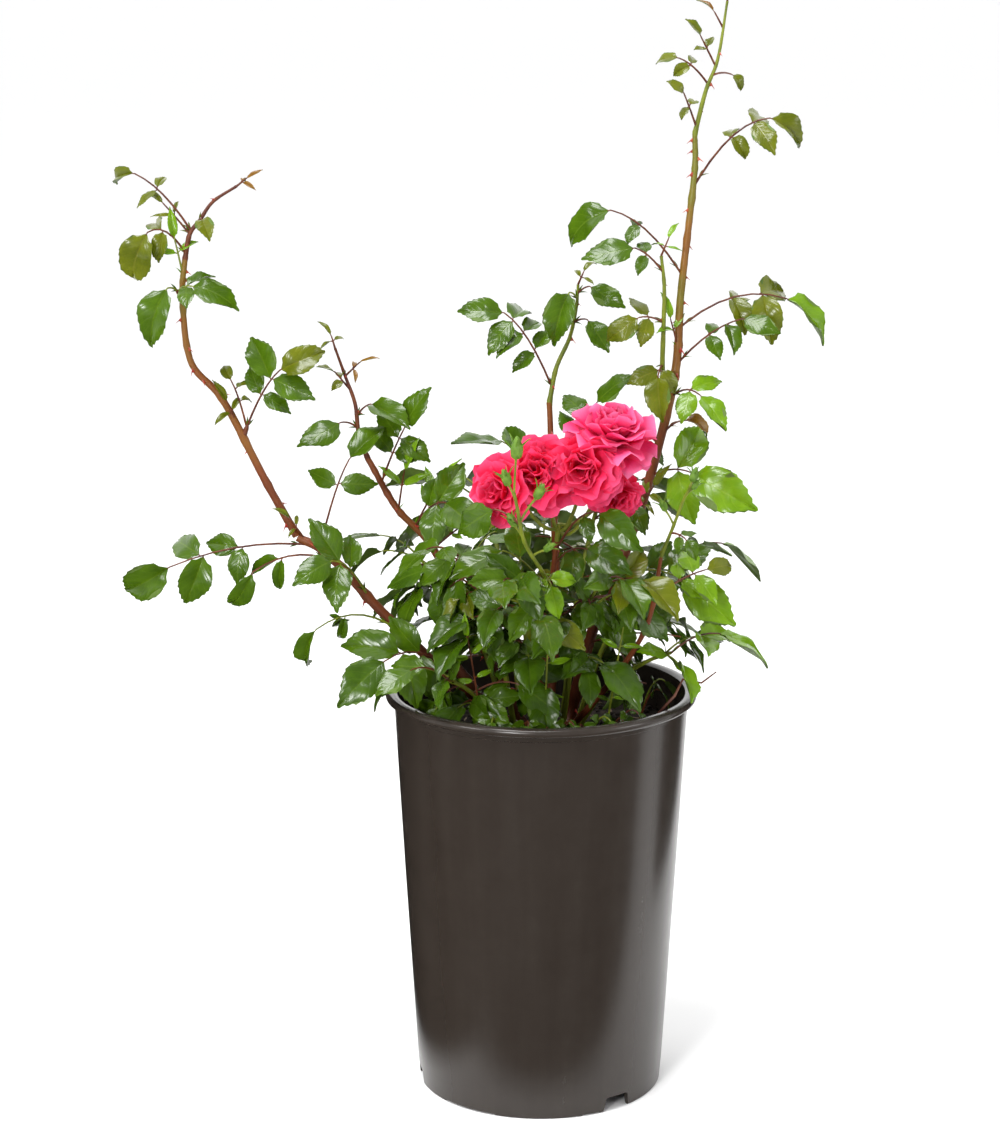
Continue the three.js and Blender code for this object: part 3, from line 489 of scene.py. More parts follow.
def crumb_size(i):
    """A crumb's length, width and thickness. Most are small."""
    grow = 0.7 + 1.9 * scatter(i * 7 + 3) ** 3
    return grow * 1.3, grow, grow * 0.7


def sliver_size(i):
    """A sliver's length, width and thickness."""
    return 3 + 4 * scatter(i + 33), 0.6, 0.4


strew(CRUMBS, 0, 3, 0.4, crumb_size, 0)
strew(SLIVERS, 300, 6, 1.2, sliver_size, 1)
straw, *_ = mottled("bark_sliver", 300.0, 3.0, (0.35, (0.09, 0.055, 0.03)), (0.65, (0.26, 0.19, 0.11)),
                    Roughness=0.8)
crumbs = crumbs.build("compost_crumbs", [peat, straw])
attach(crumbs, "root")


# ---- the canes ------------------------------------------------------------------------------
# Woody stems a year or two old, rising from the crown of the plant: smooth thin bark, red-brown
# low down and olive green above, with a slight swelling where each leaf or shoot springs.
GROUND = SOIL_LEVEL + 0.3


def route_of(points):
    """A smooth route through points: where it is at a share of its way, from 0 to 1."""
    points = [np.array(p, float) for p in points]
    ends = [2 * points[0] - points[1]] + points + [2 * points[-1] - points[-2]]

    def place(share):
        span = min(max(share, 0.0), 1.0) * (len(points) - 1)
        leg = min(int(span), len(points) - 2)
        w = span - leg
        before, start, end, after = ends[leg:leg + 4]
        lead, trail = 0.5 * (end - before), 0.5 * (after - start)
        return (start + lead * w + (3 * (end - start) - 2 * lead - trail) * w * w
                + (2 * (start - end) + lead + trail) * w ** 3)
    return place


def unit(v):
    """The same direction, of length 1."""
    return v / max(np.linalg.norm(v), 1e-9)


def heading_at(route, share):
    """Which way a route runs at a share of its way."""
    return unit(route(min(share + 1e-4, 1)) - route(max(share - 1e-4, 0)))


def towards(turn):
    """A level heading, by its turn from +X in radians."""
    return np.array([math.cos(turn), math.sin(turn), 0.0])


def tube(stations, radii, sides=6):
    """A round tapering tube through stations, closed at both ends, as a shape."""
    stations = np.asarray(stations, float)
    normal, rings = np.array([0.3, 0.2, 0.1]), []
    for i, middle in enumerate(stations):
        along = unit(stations[min(i + 1, len(stations) - 1)] - stations[max(i - 1, 0)])
        normal = unit(normal - along * normal.dot(along))
        other = np.cross(along, normal)
        turns = np.arange(sides) * math.tau / sides
        around = np.outer(np.cos(turns), normal) + np.outer(np.sin(turns), other)
        rings.append(middle + radii[i] * around)
    points = np.concatenate(rings)
    corners, sizes, uv = [], [], []
    for i in range(len(stations) - 1):
        for k in range(sides):
            a, b = i * sides + k, i * sides + (k + 1) % sides
            corners += [a, b, b + sides, a + sides]
            sizes.append(4)
            uv += [(k / sides, i), ((k + 1) / sides, i), ((k + 1) / sides, i + 1), (k / sides, i + 1)]
    last = (len(stations) - 1) * sides
    corners += list(range(sides))[::-1] + [last + k for k in range(sides)]
    sizes += [sides, sides]
    uv += [(0.5, 0)] * (2 * sides)
    return {"points": points, "corners": np.array(corners), "sizes": np.array(sizes), "uv": np.array(uv),
            "own": np.full(len(sizes), -1)}


# Each cane's radii at its foot and tip, its prickles, and its route from the soil up.
CANES = {
    "right_cane": ((3.8, 1.5), 22, [(16, 1, 224), (32, 1, 288), (58, 5, 355), (79, 11, 436), (83, 13, 491),
                                    (90, 16, 560), (90, 17, 584)]),
    "left_cane": ((3.4, 2.6), 8, [(-15, -1, 224), (-60, -4, 262), (-96, -4, 298), (-128, -2, 333),
                                  (-147, 0, 344)]),
    "left_upper_cane": ((2.6, 1.6), 13, [(-147.5, 0, 344.8), (-165, 0, 377), (-190, 0, 427), (-209, 0, 451),
                                         (-213, 0, 490), (-211, 0, 512)]),
    "mid_left_cane": ((2.8, 1.8), 7, [(-11, 10, 224), (-38, 20, 275), (-66, 30, 330), (-88, 31, 355),
                                      (-106, 34, 386)]),
    "middle_cane": ((2.8, 1.7), 8, [(5, 13, 224), (10, 20, 290), (8, 25, 350), (5, 31, 421)]),
    "bud_cane": ((2.2, 1.0), 0, [(15, -10, 224), (42, -28, 262), (62, -44, 300), (70, -50, 345)]),
    "flower_cane": ((2.4, 1.3), 0, [(-1, -13, 224), (2, -26, 275), (6, -35, 325), (9, -40, 352)]),
    "pruned_stub": ((3.6, 3.2), 0, [(-26, -10, 224), (-38, -14, 248), (-52, -16, 268)]),
}

# Bark: a red-brown skin that turns olive green higher up, flecked with pale breathing pores.
bark, tree, shader = new_material("rose_bark", Specular_IOR_Level=0.3, Roughness=0.42)
place = object_place(tree)
height = add_node(tree, "SeparateXYZ", Vector=place).outputs["Z"]
patches = add_node(tree, "TexNoise", Vector=place, Scale=26.0, Detail=3.0).outputs["Fac"]
age = maths(tree, "MULTIPLY_ADD", patches, 0.8, remap(tree, height, 0.26, 0.62, 0.0, 0.72))
skin = colour_ramp(tree, age, [(0.30, (0.075, 0.016, 0.006)), (0.62, (0.145, 0.036, 0.008)),
                               (0.85, (0.185, 0.080, 0.010)), (1.0, (0.125, 0.120, 0.010))])
pores = add_node(tree, "TexVoronoi", Vector=place, Scale=520.0).outputs["Distance"]
fleck = remap(tree, pores, 0.06, 0.14, 0.3, 0.0)
set_node(shader, Base_Color=mixed(tree, fleck, skin, (0.24, 0.15, 0.08, 1)))
ridges = add_node(tree, "Mapping", Vector=place, Scale=(700, 700, 60)).outputs["Vector"]
grooves = add_node(tree, "TexNoise", Vector=ridges, Scale=1.0, Detail=4.0).outputs["Fac"]
emboss(shader, grooves, 0.45, 0.0006)

limbs = {}
for number, (name, ((foot, tip), _, points)) in enumerate(CANES.items()):
    route = route_of(points)
    limbs[name] = (route, foot, tip)
    length = sum(np.linalg.norm(np.subtract(a, b)) for a, b in zip(points, points[1:]))
    steps = int(length / 4)
    curve = bpy.data.curves.new(name + "_bark", "CURVE")
    curve.dimensions = "3D"
    curve.bevel_depth = MM
    curve.bevel_resolution = 4
    curve.use_fill_caps = True
    line = curve.splines.new("POLY")
    line.points.add(steps)
    for i in range(steps + 1):
        share = i / steps
        x, y, z = route(share)
        swelling = 1 + 0.22 * max(0, math.cos(share * length / 21 * math.tau + number)) ** 12
        flare = 1 + 0.4 * max(0, 1 - share * length / 9) if z < GROUND + 12 else 1
        line.points[i].co = (x * MM, y * MM, max(z, GROUND - 1.5) * MM, 1)
        line.points[i].radius = (foot + (tip - foot) * share) * swelling * flare
    limb = bpy.data.objects.new(name + "_bark", curve)
    bpy.context.scene.collection.objects.link(limb)
    pick_piece(limb)
    bpy.ops.object.convert(target="MESH")
    limb = bpy.context.object
    knots = bpy.data.textures.new(name + "_knots", "CLOUDS")
    knots.noise_scale = 5 * MM
    rough = limb.modifiers.new("bark_relief", "DISPLACE")
    rough.texture = knots
    rough.texture_coords = "LOCAL"
    rough.strength = 0.5 * MM
    apply_all(limb)
    bpy.ops.object.shade_smooth_by_angle(angle=math.radians(60))
    limb.data.materials.append(bark)
    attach(limb, "root")
    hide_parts(name)

# Prickles: broad at the base along the stem, flat at the sides and hooked down, red while young.
bpy.ops.mesh.primitive_cone_add(vertices=8, radius1=1.5 * MM, radius2=0.12 * MM, depth=6 * MM,
                                location=(0, 0, 2.4 * MM))
bpy.ops.object.transform_apply()
bpy.ops.object.mode_set(mode="EDIT")
bpy.ops.mesh.select_all(action="SELECT")
bpy.ops.mesh.bisect(plane_co=(0, 0, 2 * MM), plane_no=(0, 0, 1))
pick(lambda place: 1.9 < place.z < 2.1)
scale_picked(0.42, 0.62, 1, (0, 0, 2))
move_picked(0, -0.5, 0)
pick(lambda place: place.z < 0)
scale_picked(0.62, 1.7, 1)
pick(lambda place: place.z > 4)
move_picked(0, -2.6, -0.2)
bpy.ops.object.mode_set(mode="OBJECT")
prickle = shape_of(bpy.context.object)

thorn_red, *_ = mottled("prickle_red", 160.0, 2.0, (0.35, (0.26, 0.018, 0.012)), (0.7, (0.38, 0.070, 0.025)),
                        Roughness=0.35)
prickles = Heap()


def limb_radius(limb, at):
    """A limb's radius at a share of its length."""
    _, foot, tip = limb
    return foot + (tip - foot) * at


def set_prickles(limb, count, seed):
    """Sets prickles round a limb, each pointing out and hooked towards the limb's foot."""
    for i in range(count):
        at = (i + 0.6 + spread(seed + i, 0.25)) / (count + 0.4)
        along, radius = heading_at(limb[0], at), limb_radius(limb, at)
        outward = towards(scatter(seed * 3 + i * 7) * math.tau)
        outward = unit(outward - along * outward.dot(along))
        turn = np.array([np.cross(along, outward), along, outward])
        grow = (0.62 + 0.5 * scatter(seed + 5 * i) ** 2) * min(1, radius / 1.6)
        prickles.add((prickle["points"] * grow) @ turn + limb[0](at) + outward * radius * 0.9, prickle)


for number, (name, (_, count, _)) in enumerate(CANES.items()):
    set_prickles(limbs[name], count, 20 + number * 9)


# ---- the leaves -----------------------------------------------------------------------------
# Rose leaves: a slim stalk with one to three pairs of toothed leaflets and one more at its end,
# glossy above and paler beneath, with a sunk midrib and side veins. Each leaflet is a folded
# blade cut from one model; new growth is smaller and tinted bronze.
LEAF_RATIO = 0.57                 # a leaflet's width of its length
ROWS = 9                          # teeth along each edge of a leaflet
SIDE_VEINS = 7.0                  # pairs of side veins


def leaf_width(y):
    """A leaflet's width at a share of its length: a round foot, and a drawn-out point."""
    if not 0 < y < 1:
        return 0.0
    return LEAF_RATIO * math.sin(math.pi * y ** 0.80) ** (0.58 + 0.72 * y)


def unit_grid(columns, rows):
    """A flat grid, 1 mm by 1 mm, that starts at the origin and runs along +Y."""
    bpy.ops.mesh.primitive_grid_add(x_subdivisions=columns, y_subdivisions=rows, size=1,
                                    location=(0, 0.5, 0), calc_uvs=True)
    bpy.ops.object.transform_apply()
    bpy.context.object.scale = (MM, MM, MM)
    bpy.ops.object.transform_apply()
    return bpy.context.object


def add_back():
    """Gives a sheet a back that faces the other way, held 1 mm away while it is shaped."""
    bpy.ops.mesh.select_all(action="SELECT")
    bpy.ops.mesh.duplicate_move(TRANSFORM_OT_translate={"value": (0, 0, -MM)})
    bpy.ops.mesh.flip_normals()


def close_back():
    """Brings the back up to the sheet and joins the two at their edge."""
    pick(lambda place: place.z < -0.5)
    move_picked(0, 0, 1)
    bpy.ops.mesh.select_all(action="SELECT")
    bpy.ops.mesh.remove_doubles(threshold=0.004 * MM)
    bpy.ops.object.mode_set(mode="OBJECT")


leaflet = unit_grid(4, ROWS)
for row in range(ROWS + 1):
    y = row / ROWS
    pick(lambda place: abs(place.y - y) < 0.01)
    scale_picked(max(leaf_width(y), 0.02), 1, 1)
pick(lambda a, b: a.x * b.x > 0 and abs(a.y - b.y) > 0.04 and
     all(abs(p.x) > 0.4 * max(leaf_width(p.y), 0.02) for p in (a, b)), "edges")
bpy.ops.mesh.subdivide(number_cuts=1)
known = {round(row / ROWS, 3) for row in range(ROWS + 1)}
pick(lambda place: round(place.y, 3) not in known)
scale_picked(1.055, 1, 1)
move_picked(0, 0.030, 0)
pick(lambda place: 0.01 < abs(place.x) < 0.3 * leaf_width(place.y))
move_picked(0, 0, 0.022)
add_back()
pick(lambda a, b: a.z < -0.95 and b.z < -0.95 and a.x * b.x > 0 and abs(a.y - b.y) > 0.04, "edges")
bpy.ops.mesh.dissolve_edges(use_verts=False)
pick(lambda place: place.z < -0.5 and abs(place.x) < 0.001)
move_picked(0, 0, -0.022)
close_back()
leaf_shape = shape_of(leaflet, own=lambda face: 0 if face.normal.z < 0 else -1)


def leaf_finish(name, dark, light, vein, roughness):
    """A leaf's surface: mottled green cushions between sunk side veins, and a pale midrib."""
    material, tree, shader = new_material(name, Specular_IOR_Level=0.31, Roughness=roughness)
    split = add_node(tree, "SeparateXYZ", Vector=add_node(tree, "UVMap").outputs["UV"])
    side = maths(tree, "ABSOLUTE", maths(tree, "MULTIPLY_ADD", split.outputs["X"], 2.0, -1.0))
    slant = maths(tree, "MULTIPLY_ADD", side, -0.30, split.outputs["Y"])
    turns = maths(tree, "FRACT", maths(tree, "MULTIPLY", slant, SIDE_VEINS))
    ridge = maths(tree, "ABSOLUTE", maths(tree, "MULTIPLY_ADD", turns, 2.0, -1.0))
    midrib = remap(tree, side, 0.0, 0.09, 1.0, 0.0)
    branches = maths(tree, "MULTIPLY", remap(tree, ridge, 0.86, 1.0), 0.5)
    veins = maths(tree, "MULTIPLY", maths(tree, "MAXIMUM", branches, midrib), 0.32)
    mottle = add_node(tree, "TexNoise", Vector=object_place(tree), Scale=90.0, Detail=4.0).outputs["Fac"]
    body = colour_ramp(tree, mottle, [(0.3, dark), (0.7, light)])
    set_node(shader, Base_Color=mixed(tree, veins, body, (*vein, 1)))
    valley = maths(tree, "SUBTRACT", 1.0, maths(tree, "POWER", ridge, 3.0))
    emboss(shader, maths(tree, "SUBTRACT", valley, midrib), 0.13, 0.0005)
    return material


LEAF_FINISHES = [
    leaf_finish("leaf_underside", (0.058, 0.104, 0.012), (0.092, 0.15, 0.021), (0.16, 0.22, 0.05), 0.5),
    leaf_finish("leaf_deep", (0.022, 0.052, 0.001), (0.040, 0.086, 0.002), (0.09, 0.15, 0.012), 0.24),
    leaf_finish("leaf_green", (0.030, 0.067, 0.001), (0.051, 0.104, 0.002), (0.12, 0.19, 0.014), 0.22),
    leaf_finish("leaf_fresh", (0.086, 0.182, 0.002), (0.140, 0.265, 0.004), (0.25, 0.36, 0.04), 0.24),
    leaf_finish("leaf_olive", (0.062, 0.080, 0.002), (0.110, 0.128, 0.004), (0.18, 0.17, 0.02), 0.24),
    leaf_finish("leaf_bronze", (0.13, 0.052, 0.006), (0.19, 0.10, 0.010), (0.26, 0.12, 0.02), 0.25),
]
TINTS = {"deep": 1, "green": 2, "fresh": 3, "olive": 4, "bronze": 5}     # places in the list above
YOUNG = (TINTS["olive"], TINTS["bronze"])


def twig_finish(name, low, high):
    """A green or reddish twig's skin, streaked along its length."""
    material, shader, streak = mottled(name, 120.0, 3.0, (0.35, low), (0.65, high), Roughness=0.45,
                                       Specular_IOR_Level=0.25)
    emboss(shader, streak, 0.3, 0.0003)
    return material


TWIG_FINISHES = [twig_finish("twig_green", (0.090, 0.115, 0.008), (0.16, 0.19, 0.014)),
                 twig_finish("twig_red", (0.060, 0.014, 0.009), (0.125, 0.036, 0.012))]
GREEN, RED = 0, 1

UP = np.array([0.0, 0.0, 1.0])
FRONT = np.array([0.0, -1.0, 0.0])
ARCH = 0.1                        # how far a leaf's stalk bows up, of its reach
HANG = 0.18                       # how far its leaflets droop
PAIRS = (                         # each pair's place along the stalk, and its size of the end leaflet
    (), ((0.6, 0.78),), ((0.45, 0.68), (0.75, 0.88)), ((0.36, 0.6), (0.6, 0.76), (0.82, 0.9)))
SIDE_ANGLE = 62                   # between the stalk and its side leaflets
STAGGER = 0.012                   # how far the two of a pair lie from one another along the stalk
STALK_RADIUS = 0.75
LEAFLET_STALK = 1.1               # between the stalk and a leaflet's blade
YOUNG_BOW = 1.7                   # how much more a young leaflet curls than an old one


def rose_leaf(reach, size, pairs, arch=ARCH, tilt=50, hang=HANG, sides=1.0, bow=None, narrow=1.0,
              tint="green", tip=None):
    """One compound leaf: how far its stalk reaches and arches, the length of its end leaflet, its
    pairs of side leaflets and their share of the usual size, how far its face tilts forward in
    degrees, how far the leaflets hang and bow, their share of the usual width, the leaf's tint, and
    its end leaflet's where that is another."""
    return dict(reach=np.array(reach, float), size=size, pairs=pairs, arch=arch, tilt=math.radians(tilt),
                hang=hang, sides=sides, bow=bow, narrow=narrow, tint=TINTS[tint], tip=TINTS[tip or tint])


def turned(v, axis, degrees):
    """A direction turned about an axis."""
    return np.array(Matrix.Rotation(math.radians(degrees), 3, Vector(axis)) @ Vector(v))


def face_of(along, look):
    """The face of a blade that runs along one way and looks as much as it can another."""
    return unit(look - along * look.dot(along))


def stalk_route(foot, reach, arch):
    """The bowed line of a leaf's stalk, from its foot over the length that it reaches."""
    crest = foot + reach / 2 + UP * 2 * arch * np.linalg.norm(reach)
    return lambda t: (1 - t) ** 2 * foot + 2 * t * (1 - t) * crest + t * t * (foot + reach)


def blade(root, along, face, length, seed, narrow=1.0, bow=1.0):
    """The points of one leaflet: folded up from its midrib, curled down to its tip by the bow, and
    a little twisted, with waved edges."""
    x, y, z = (leaf_shape["points"] * (narrow, 1, 1)).T
    fold = (0.36 + spread(seed * 17, 0.24)) * (0.5 + 0.5 * bow)
    curl = (0.62 + spread(seed * 19, 0.40)) * bow
    wave = 0.045 * np.sin(y * 12 + seed) * np.abs(x) * 3
    lift = z + fold * np.abs(x) - 0.5 * np.abs(x) ** 2 * (1 + scatter(seed * 23)) + wave
    out = np.sin(curl * y) / curl + lift * np.sin(curl * y)
    rise = (np.cos(curl * y) - 1) / curl + lift * np.cos(curl * y)
    twist = spread(seed * 31, 0.5) * y
    sway = spread(seed * 29, 0.12) * y ** 2
    side, up = x * np.cos(twist) + sway, x * np.sin(twist) + rise
    across = np.cross(along, face)
    return root + length * (np.outer(side, across) + np.outer(out, along) + np.outer(up, face))


solid_of = {}


def in_solid(node, point, within):
    """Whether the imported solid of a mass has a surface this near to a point, in mm."""
    if node not in solid_of:
        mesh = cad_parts[node].data
        solid_of[node] = BVHTree.FromPolygons([v.co / MM for v in mesh.vertices],
                                              [tuple(p.vertices) for p in mesh.polygons])
    return solid_of[node].find_nearest(Vector(point), within)[0] is not None


def grow_leaf(leaves, twigs, foot, leaf, seed, front, node=None, spring=None):
    """Grows one compound leaf: its stalk with a pair of wings at the foot, and its leaflets. Where a
    node is named, only the leaflets near its solid are grown."""
    size, tint, hang = leaf["size"], leaf["tint"], leaf["hang"]
    route = stalk_route(foot, leaf["reach"], leaf["arch"])
    look = UP * math.cos(leaf["tilt"]) + front * math.sin(leaf["tilt"])
    blades = []

    def grow(place, turn, length, number):
        heading = heading_at(route, place)
        side = unit(np.cross(heading, face_of(heading, look)))
        angle = math.radians(turn + spread(seed * 5 + number, 12))
        along = heading * math.cos(angle) + side * math.sin(angle)
        along = unit(along + UP * (-hang + spread(seed * 7 + number, 0.15)))
        face = turned(face_of(along, look), along, spread(seed * 11 + number, 22))
        long = length * (1 + spread(seed * 13 + number, 0.1))
        root = route(place)
        middle = root + along * long * 0.5
        if node is None or in_solid(node, middle, 0.13 * long + 1.5):
            blades.append((root, along, face, long, seed * 3 + number))

    grow(1, 0, size, 0)
    for k, (place, share) in enumerate(PAIRS[leaf["pairs"]]):
        length = size * leaf["sides"] * share
        for side in (1, -1):
            grow(place + side * STAGGER, side * SIDE_ANGLE, length, 2 * k + 1.5 + side / 2)
    if not blades:
        return
    stem = RED if tint in YOUNG or scatter(seed) < 0.6 else GREEN
    for root, along, face, long, mark in blades:
        shade = leaf["tip"] if mark == seed * 3 else tint
        bow = leaf["bow"] or (YOUNG_BOW if shade in YOUNG else 1.0)
        points = blade(root + along * LEAFLET_STALK, along, face, long - LEAFLET_STALK, mark,
                       leaf["narrow"], bow)
        leaves.add(points, leaf_shape, shade)
        twigs.lay(tube([root, root + along * 2], [0.48, 0.36], 4), stem)
    stations = [route(t) for t in np.linspace(0, 1, 7)]
    radii = np.linspace(STALK_RADIUS, STALK_RADIUS * 0.6, 7)
    if spring is not None:
        stations, radii = [spring] + stations, [STALK_RADIUS * 1.2] + list(radii)
    twigs.lay(tube(stations, radii, 5), stem)
    if size > 18:
        for side in (1, -1):
            heading = heading_at(route, 0.02)
            wing = unit(heading + 0.35 * side * unit(np.cross(heading, look)))
            points = blade(route(0.01), wing, face_of(wing, look), 6.5, seed + side, 0.3)
            leaves.add(points, leaf_shape, tint)


def spring_point(limb, at, heading, foot_radius):
    """Where a shoot starts so that its foot just clears the limb that it leaves."""
    route, radius = limb[0], limb_radius(limb, at)
    slant = heading.dot(heading_at(route, at))
    square = math.sqrt(max(1 - slant * slant, 0))
    if at == 1:
        return route(1) + heading * (0.35 + 0.9 * (radius + foot_radius) * square)
    return route(at) + heading * (0.93 * radius + 0.32 + 0.7 * foot_radius * abs(slant)) / max(square, 0.35)


# Each node's cane, where it leaves the cane as a share of its length, and its one or two leaves.
CANE_LEAVES = {
    "right_upper_leaf": ("right_cane", 0.81, [
        rose_leaf((41, -6, 36), 28, 2, arch=0.15, tilt=30, hang=0.4, tint="olive")]),
    "right_inner_upper_leaf": ("right_cane", 0.69, [
        rose_leaf((-41, -6, 36), 36, 1, arch=0.12, tilt=30, hang=0.4, sides=0.6, bow=1.4)]),
    "right_high_leaf": ("right_cane", 0.6, [
        rose_leaf((60, -6, 16), 36, 2, arch=0.14, tilt=25, hang=0.35, tint="olive", tip="fresh")]),
    "right_middle_leaf": ("right_cane", 0.53, [
        rose_leaf((34, -20, 27), 26, 2, arch=0.08, tilt=35, hang=0.3)]),
    "right_near_leaf": ("right_cane", 0.48, [
        rose_leaf((14, -14, 2), 29, 1, arch=0.15, tilt=45, tint="fresh")]),
    "right_small_leaf": ("right_cane", 0.435, [
        rose_leaf((9, -4, 5), 20, 0, tilt=30, tint="bronze")]),
    "right_broad_leaf": ("right_cane", 0.385, [
        rose_leaf((21, -13, 3), 43, 1, tilt=65, tint="fresh")]),
    "right_inner_leaf": ("right_cane", 0.35, [
        rose_leaf((-7, -13, 0), 27, 1, tilt=55)]),
    "left_high_leaf": ("left_upper_cane", 0.8, [
        rose_leaf((-5, -8, 3), 40, 0, hang=0.9, bow=1.4, narrow=0.9),
        rose_leaf((9, -7, 4), 35, 1, tilt=35, sides=0.7)]),
    "left_side_leaf": ("left_upper_cane", 0.31, [
        rose_leaf((21, -9, 36), 33, 2, tilt=60, tip="olive"),
        rose_leaf((-9, 5, 27), 15, 2, tilt=30, tint="olive")]),
    "left_low_leaf": ("left_cane", 0.86, [
        rose_leaf((-78, -10, -12), 38, 2, arch=0.06, tilt=60, hang=0.45, bow=1.5)]),
    "left_arching_leaf": ("left_cane", 0.81, [
        rose_leaf((17, 8, 50), 32, 1, tilt=65)]),
    "left_hanging_leaf": ("left_cane", 0.72, [
        rose_leaf((-42, -12, -6), 38, 1, arch=0.12, hang=0.8, sides=0.85, bow=1.7, narrow=0.62)]),
    "left_inner_leaf": ("left_cane", 0.56, [
        rose_leaf((-18, -24, 24), 34, 2, arch=0.12, tilt=55)]),
    "left_curled_leaf": ("left_cane", 0.42, [
        rose_leaf((-42, -16, 0), 34, 1, arch=0.16, hang=0.7, sides=0.8, bow=2.8, narrow=0.6)]),
    "rim_left_leaf": ("left_cane", 0.2, [
        rose_leaf((-38, -42, 20), 42, 2, arch=0.16, tip="deep", bow=1.5)]),
    "mid_left_upright_leaf": ("mid_left_cane", 0.88, [
        rose_leaf((14, -12, 34), 28, 2, arch=0.04)]),
    "mid_left_low_leaf": ("mid_left_cane", 0.62, [
        rose_leaf((18, -30, 20), 36, 2, tilt=55)]),
    "middle_side_leaf": ("middle_cane", 0.8, [
        rose_leaf((24, -14, 42), 28, 2, arch=0.03, tilt=45)]),
    "behind_bloom_leaf": ("middle_cane", 0.72, [
        rose_leaf((-30, -24, 38), 34, 1, tilt=40, hang=0.35, tint="deep")]),
    "under_bloom_leaf": ("flower_cane", 0.9, [
        rose_leaf((22, -30, 25), 35, 1, arch=0.14, tilt=60, hang=0.6, sides=0.6, tint="deep")]),
    "flower_side_leaf": ("flower_cane", 0.78, [
        rose_leaf((16, -22, 12), 34, 1, hang=0.3, tint="deep")]),
    "flower_left_leaf": ("flower_cane", 0.6, [
        rose_leaf((-26, -12, 26), 34, 1, hang=0.3)]),
    "right_spreading_leaf": ("right_cane", 0.24, [
        rose_leaf((38, -26, 4), 38, 2, arch=0.12, tilt=60, tip="fresh")]),
    "right_rim_leaf": ("right_cane", 0.14, [
        rose_leaf((50, -36, 12), 42, 1, arch=0.06, tilt=55, tip="fresh")]),
    "right_red_leaf": ("bud_cane", 0.8, [
        rose_leaf((28, 6, 14), 25, 2, arch=0.06, tint="fresh", tip="olive")]),
}

leaves, twigs = Heap(), Heap()
for number, (name, (cane, at, mass)) in enumerate(CANE_LEAVES.items()):
    seed = 200 + number * 11
    heading = heading_at(stalk_route(np.zeros(3), mass[0]["reach"], mass[0]["arch"]), 0.0)
    axis = limbs[cane][0](at)
    foot = spring_point(limbs[cane], at, heading, 1.0 if len(mass) == 1 else 1.4)
    if len(mass) > 1:
        twigs.lay(tube([axis, foot, foot + heading * 2, foot + heading * 4], [2, 1.6, 1.4, 0.8], 8), RED)
        foot = foot + heading * 2.4
    for k, leaf in enumerate(mass):
        grow_leaf(leaves, twigs, foot, leaf, seed + 3 * k, FRONT, name, axis)
piece = leaves.build("cane_leaves", LEAF_FINISHES)
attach(piece, "root")
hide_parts(*CANE_LEAVES)


# ---- the shoots -----------------------------------------------------------------------------
# This season's growth: slender green shoots that carry on from a cane's tip or spring from its
# side, with small bronze leaves that still stand folded, and flower buds on the flowering ones.

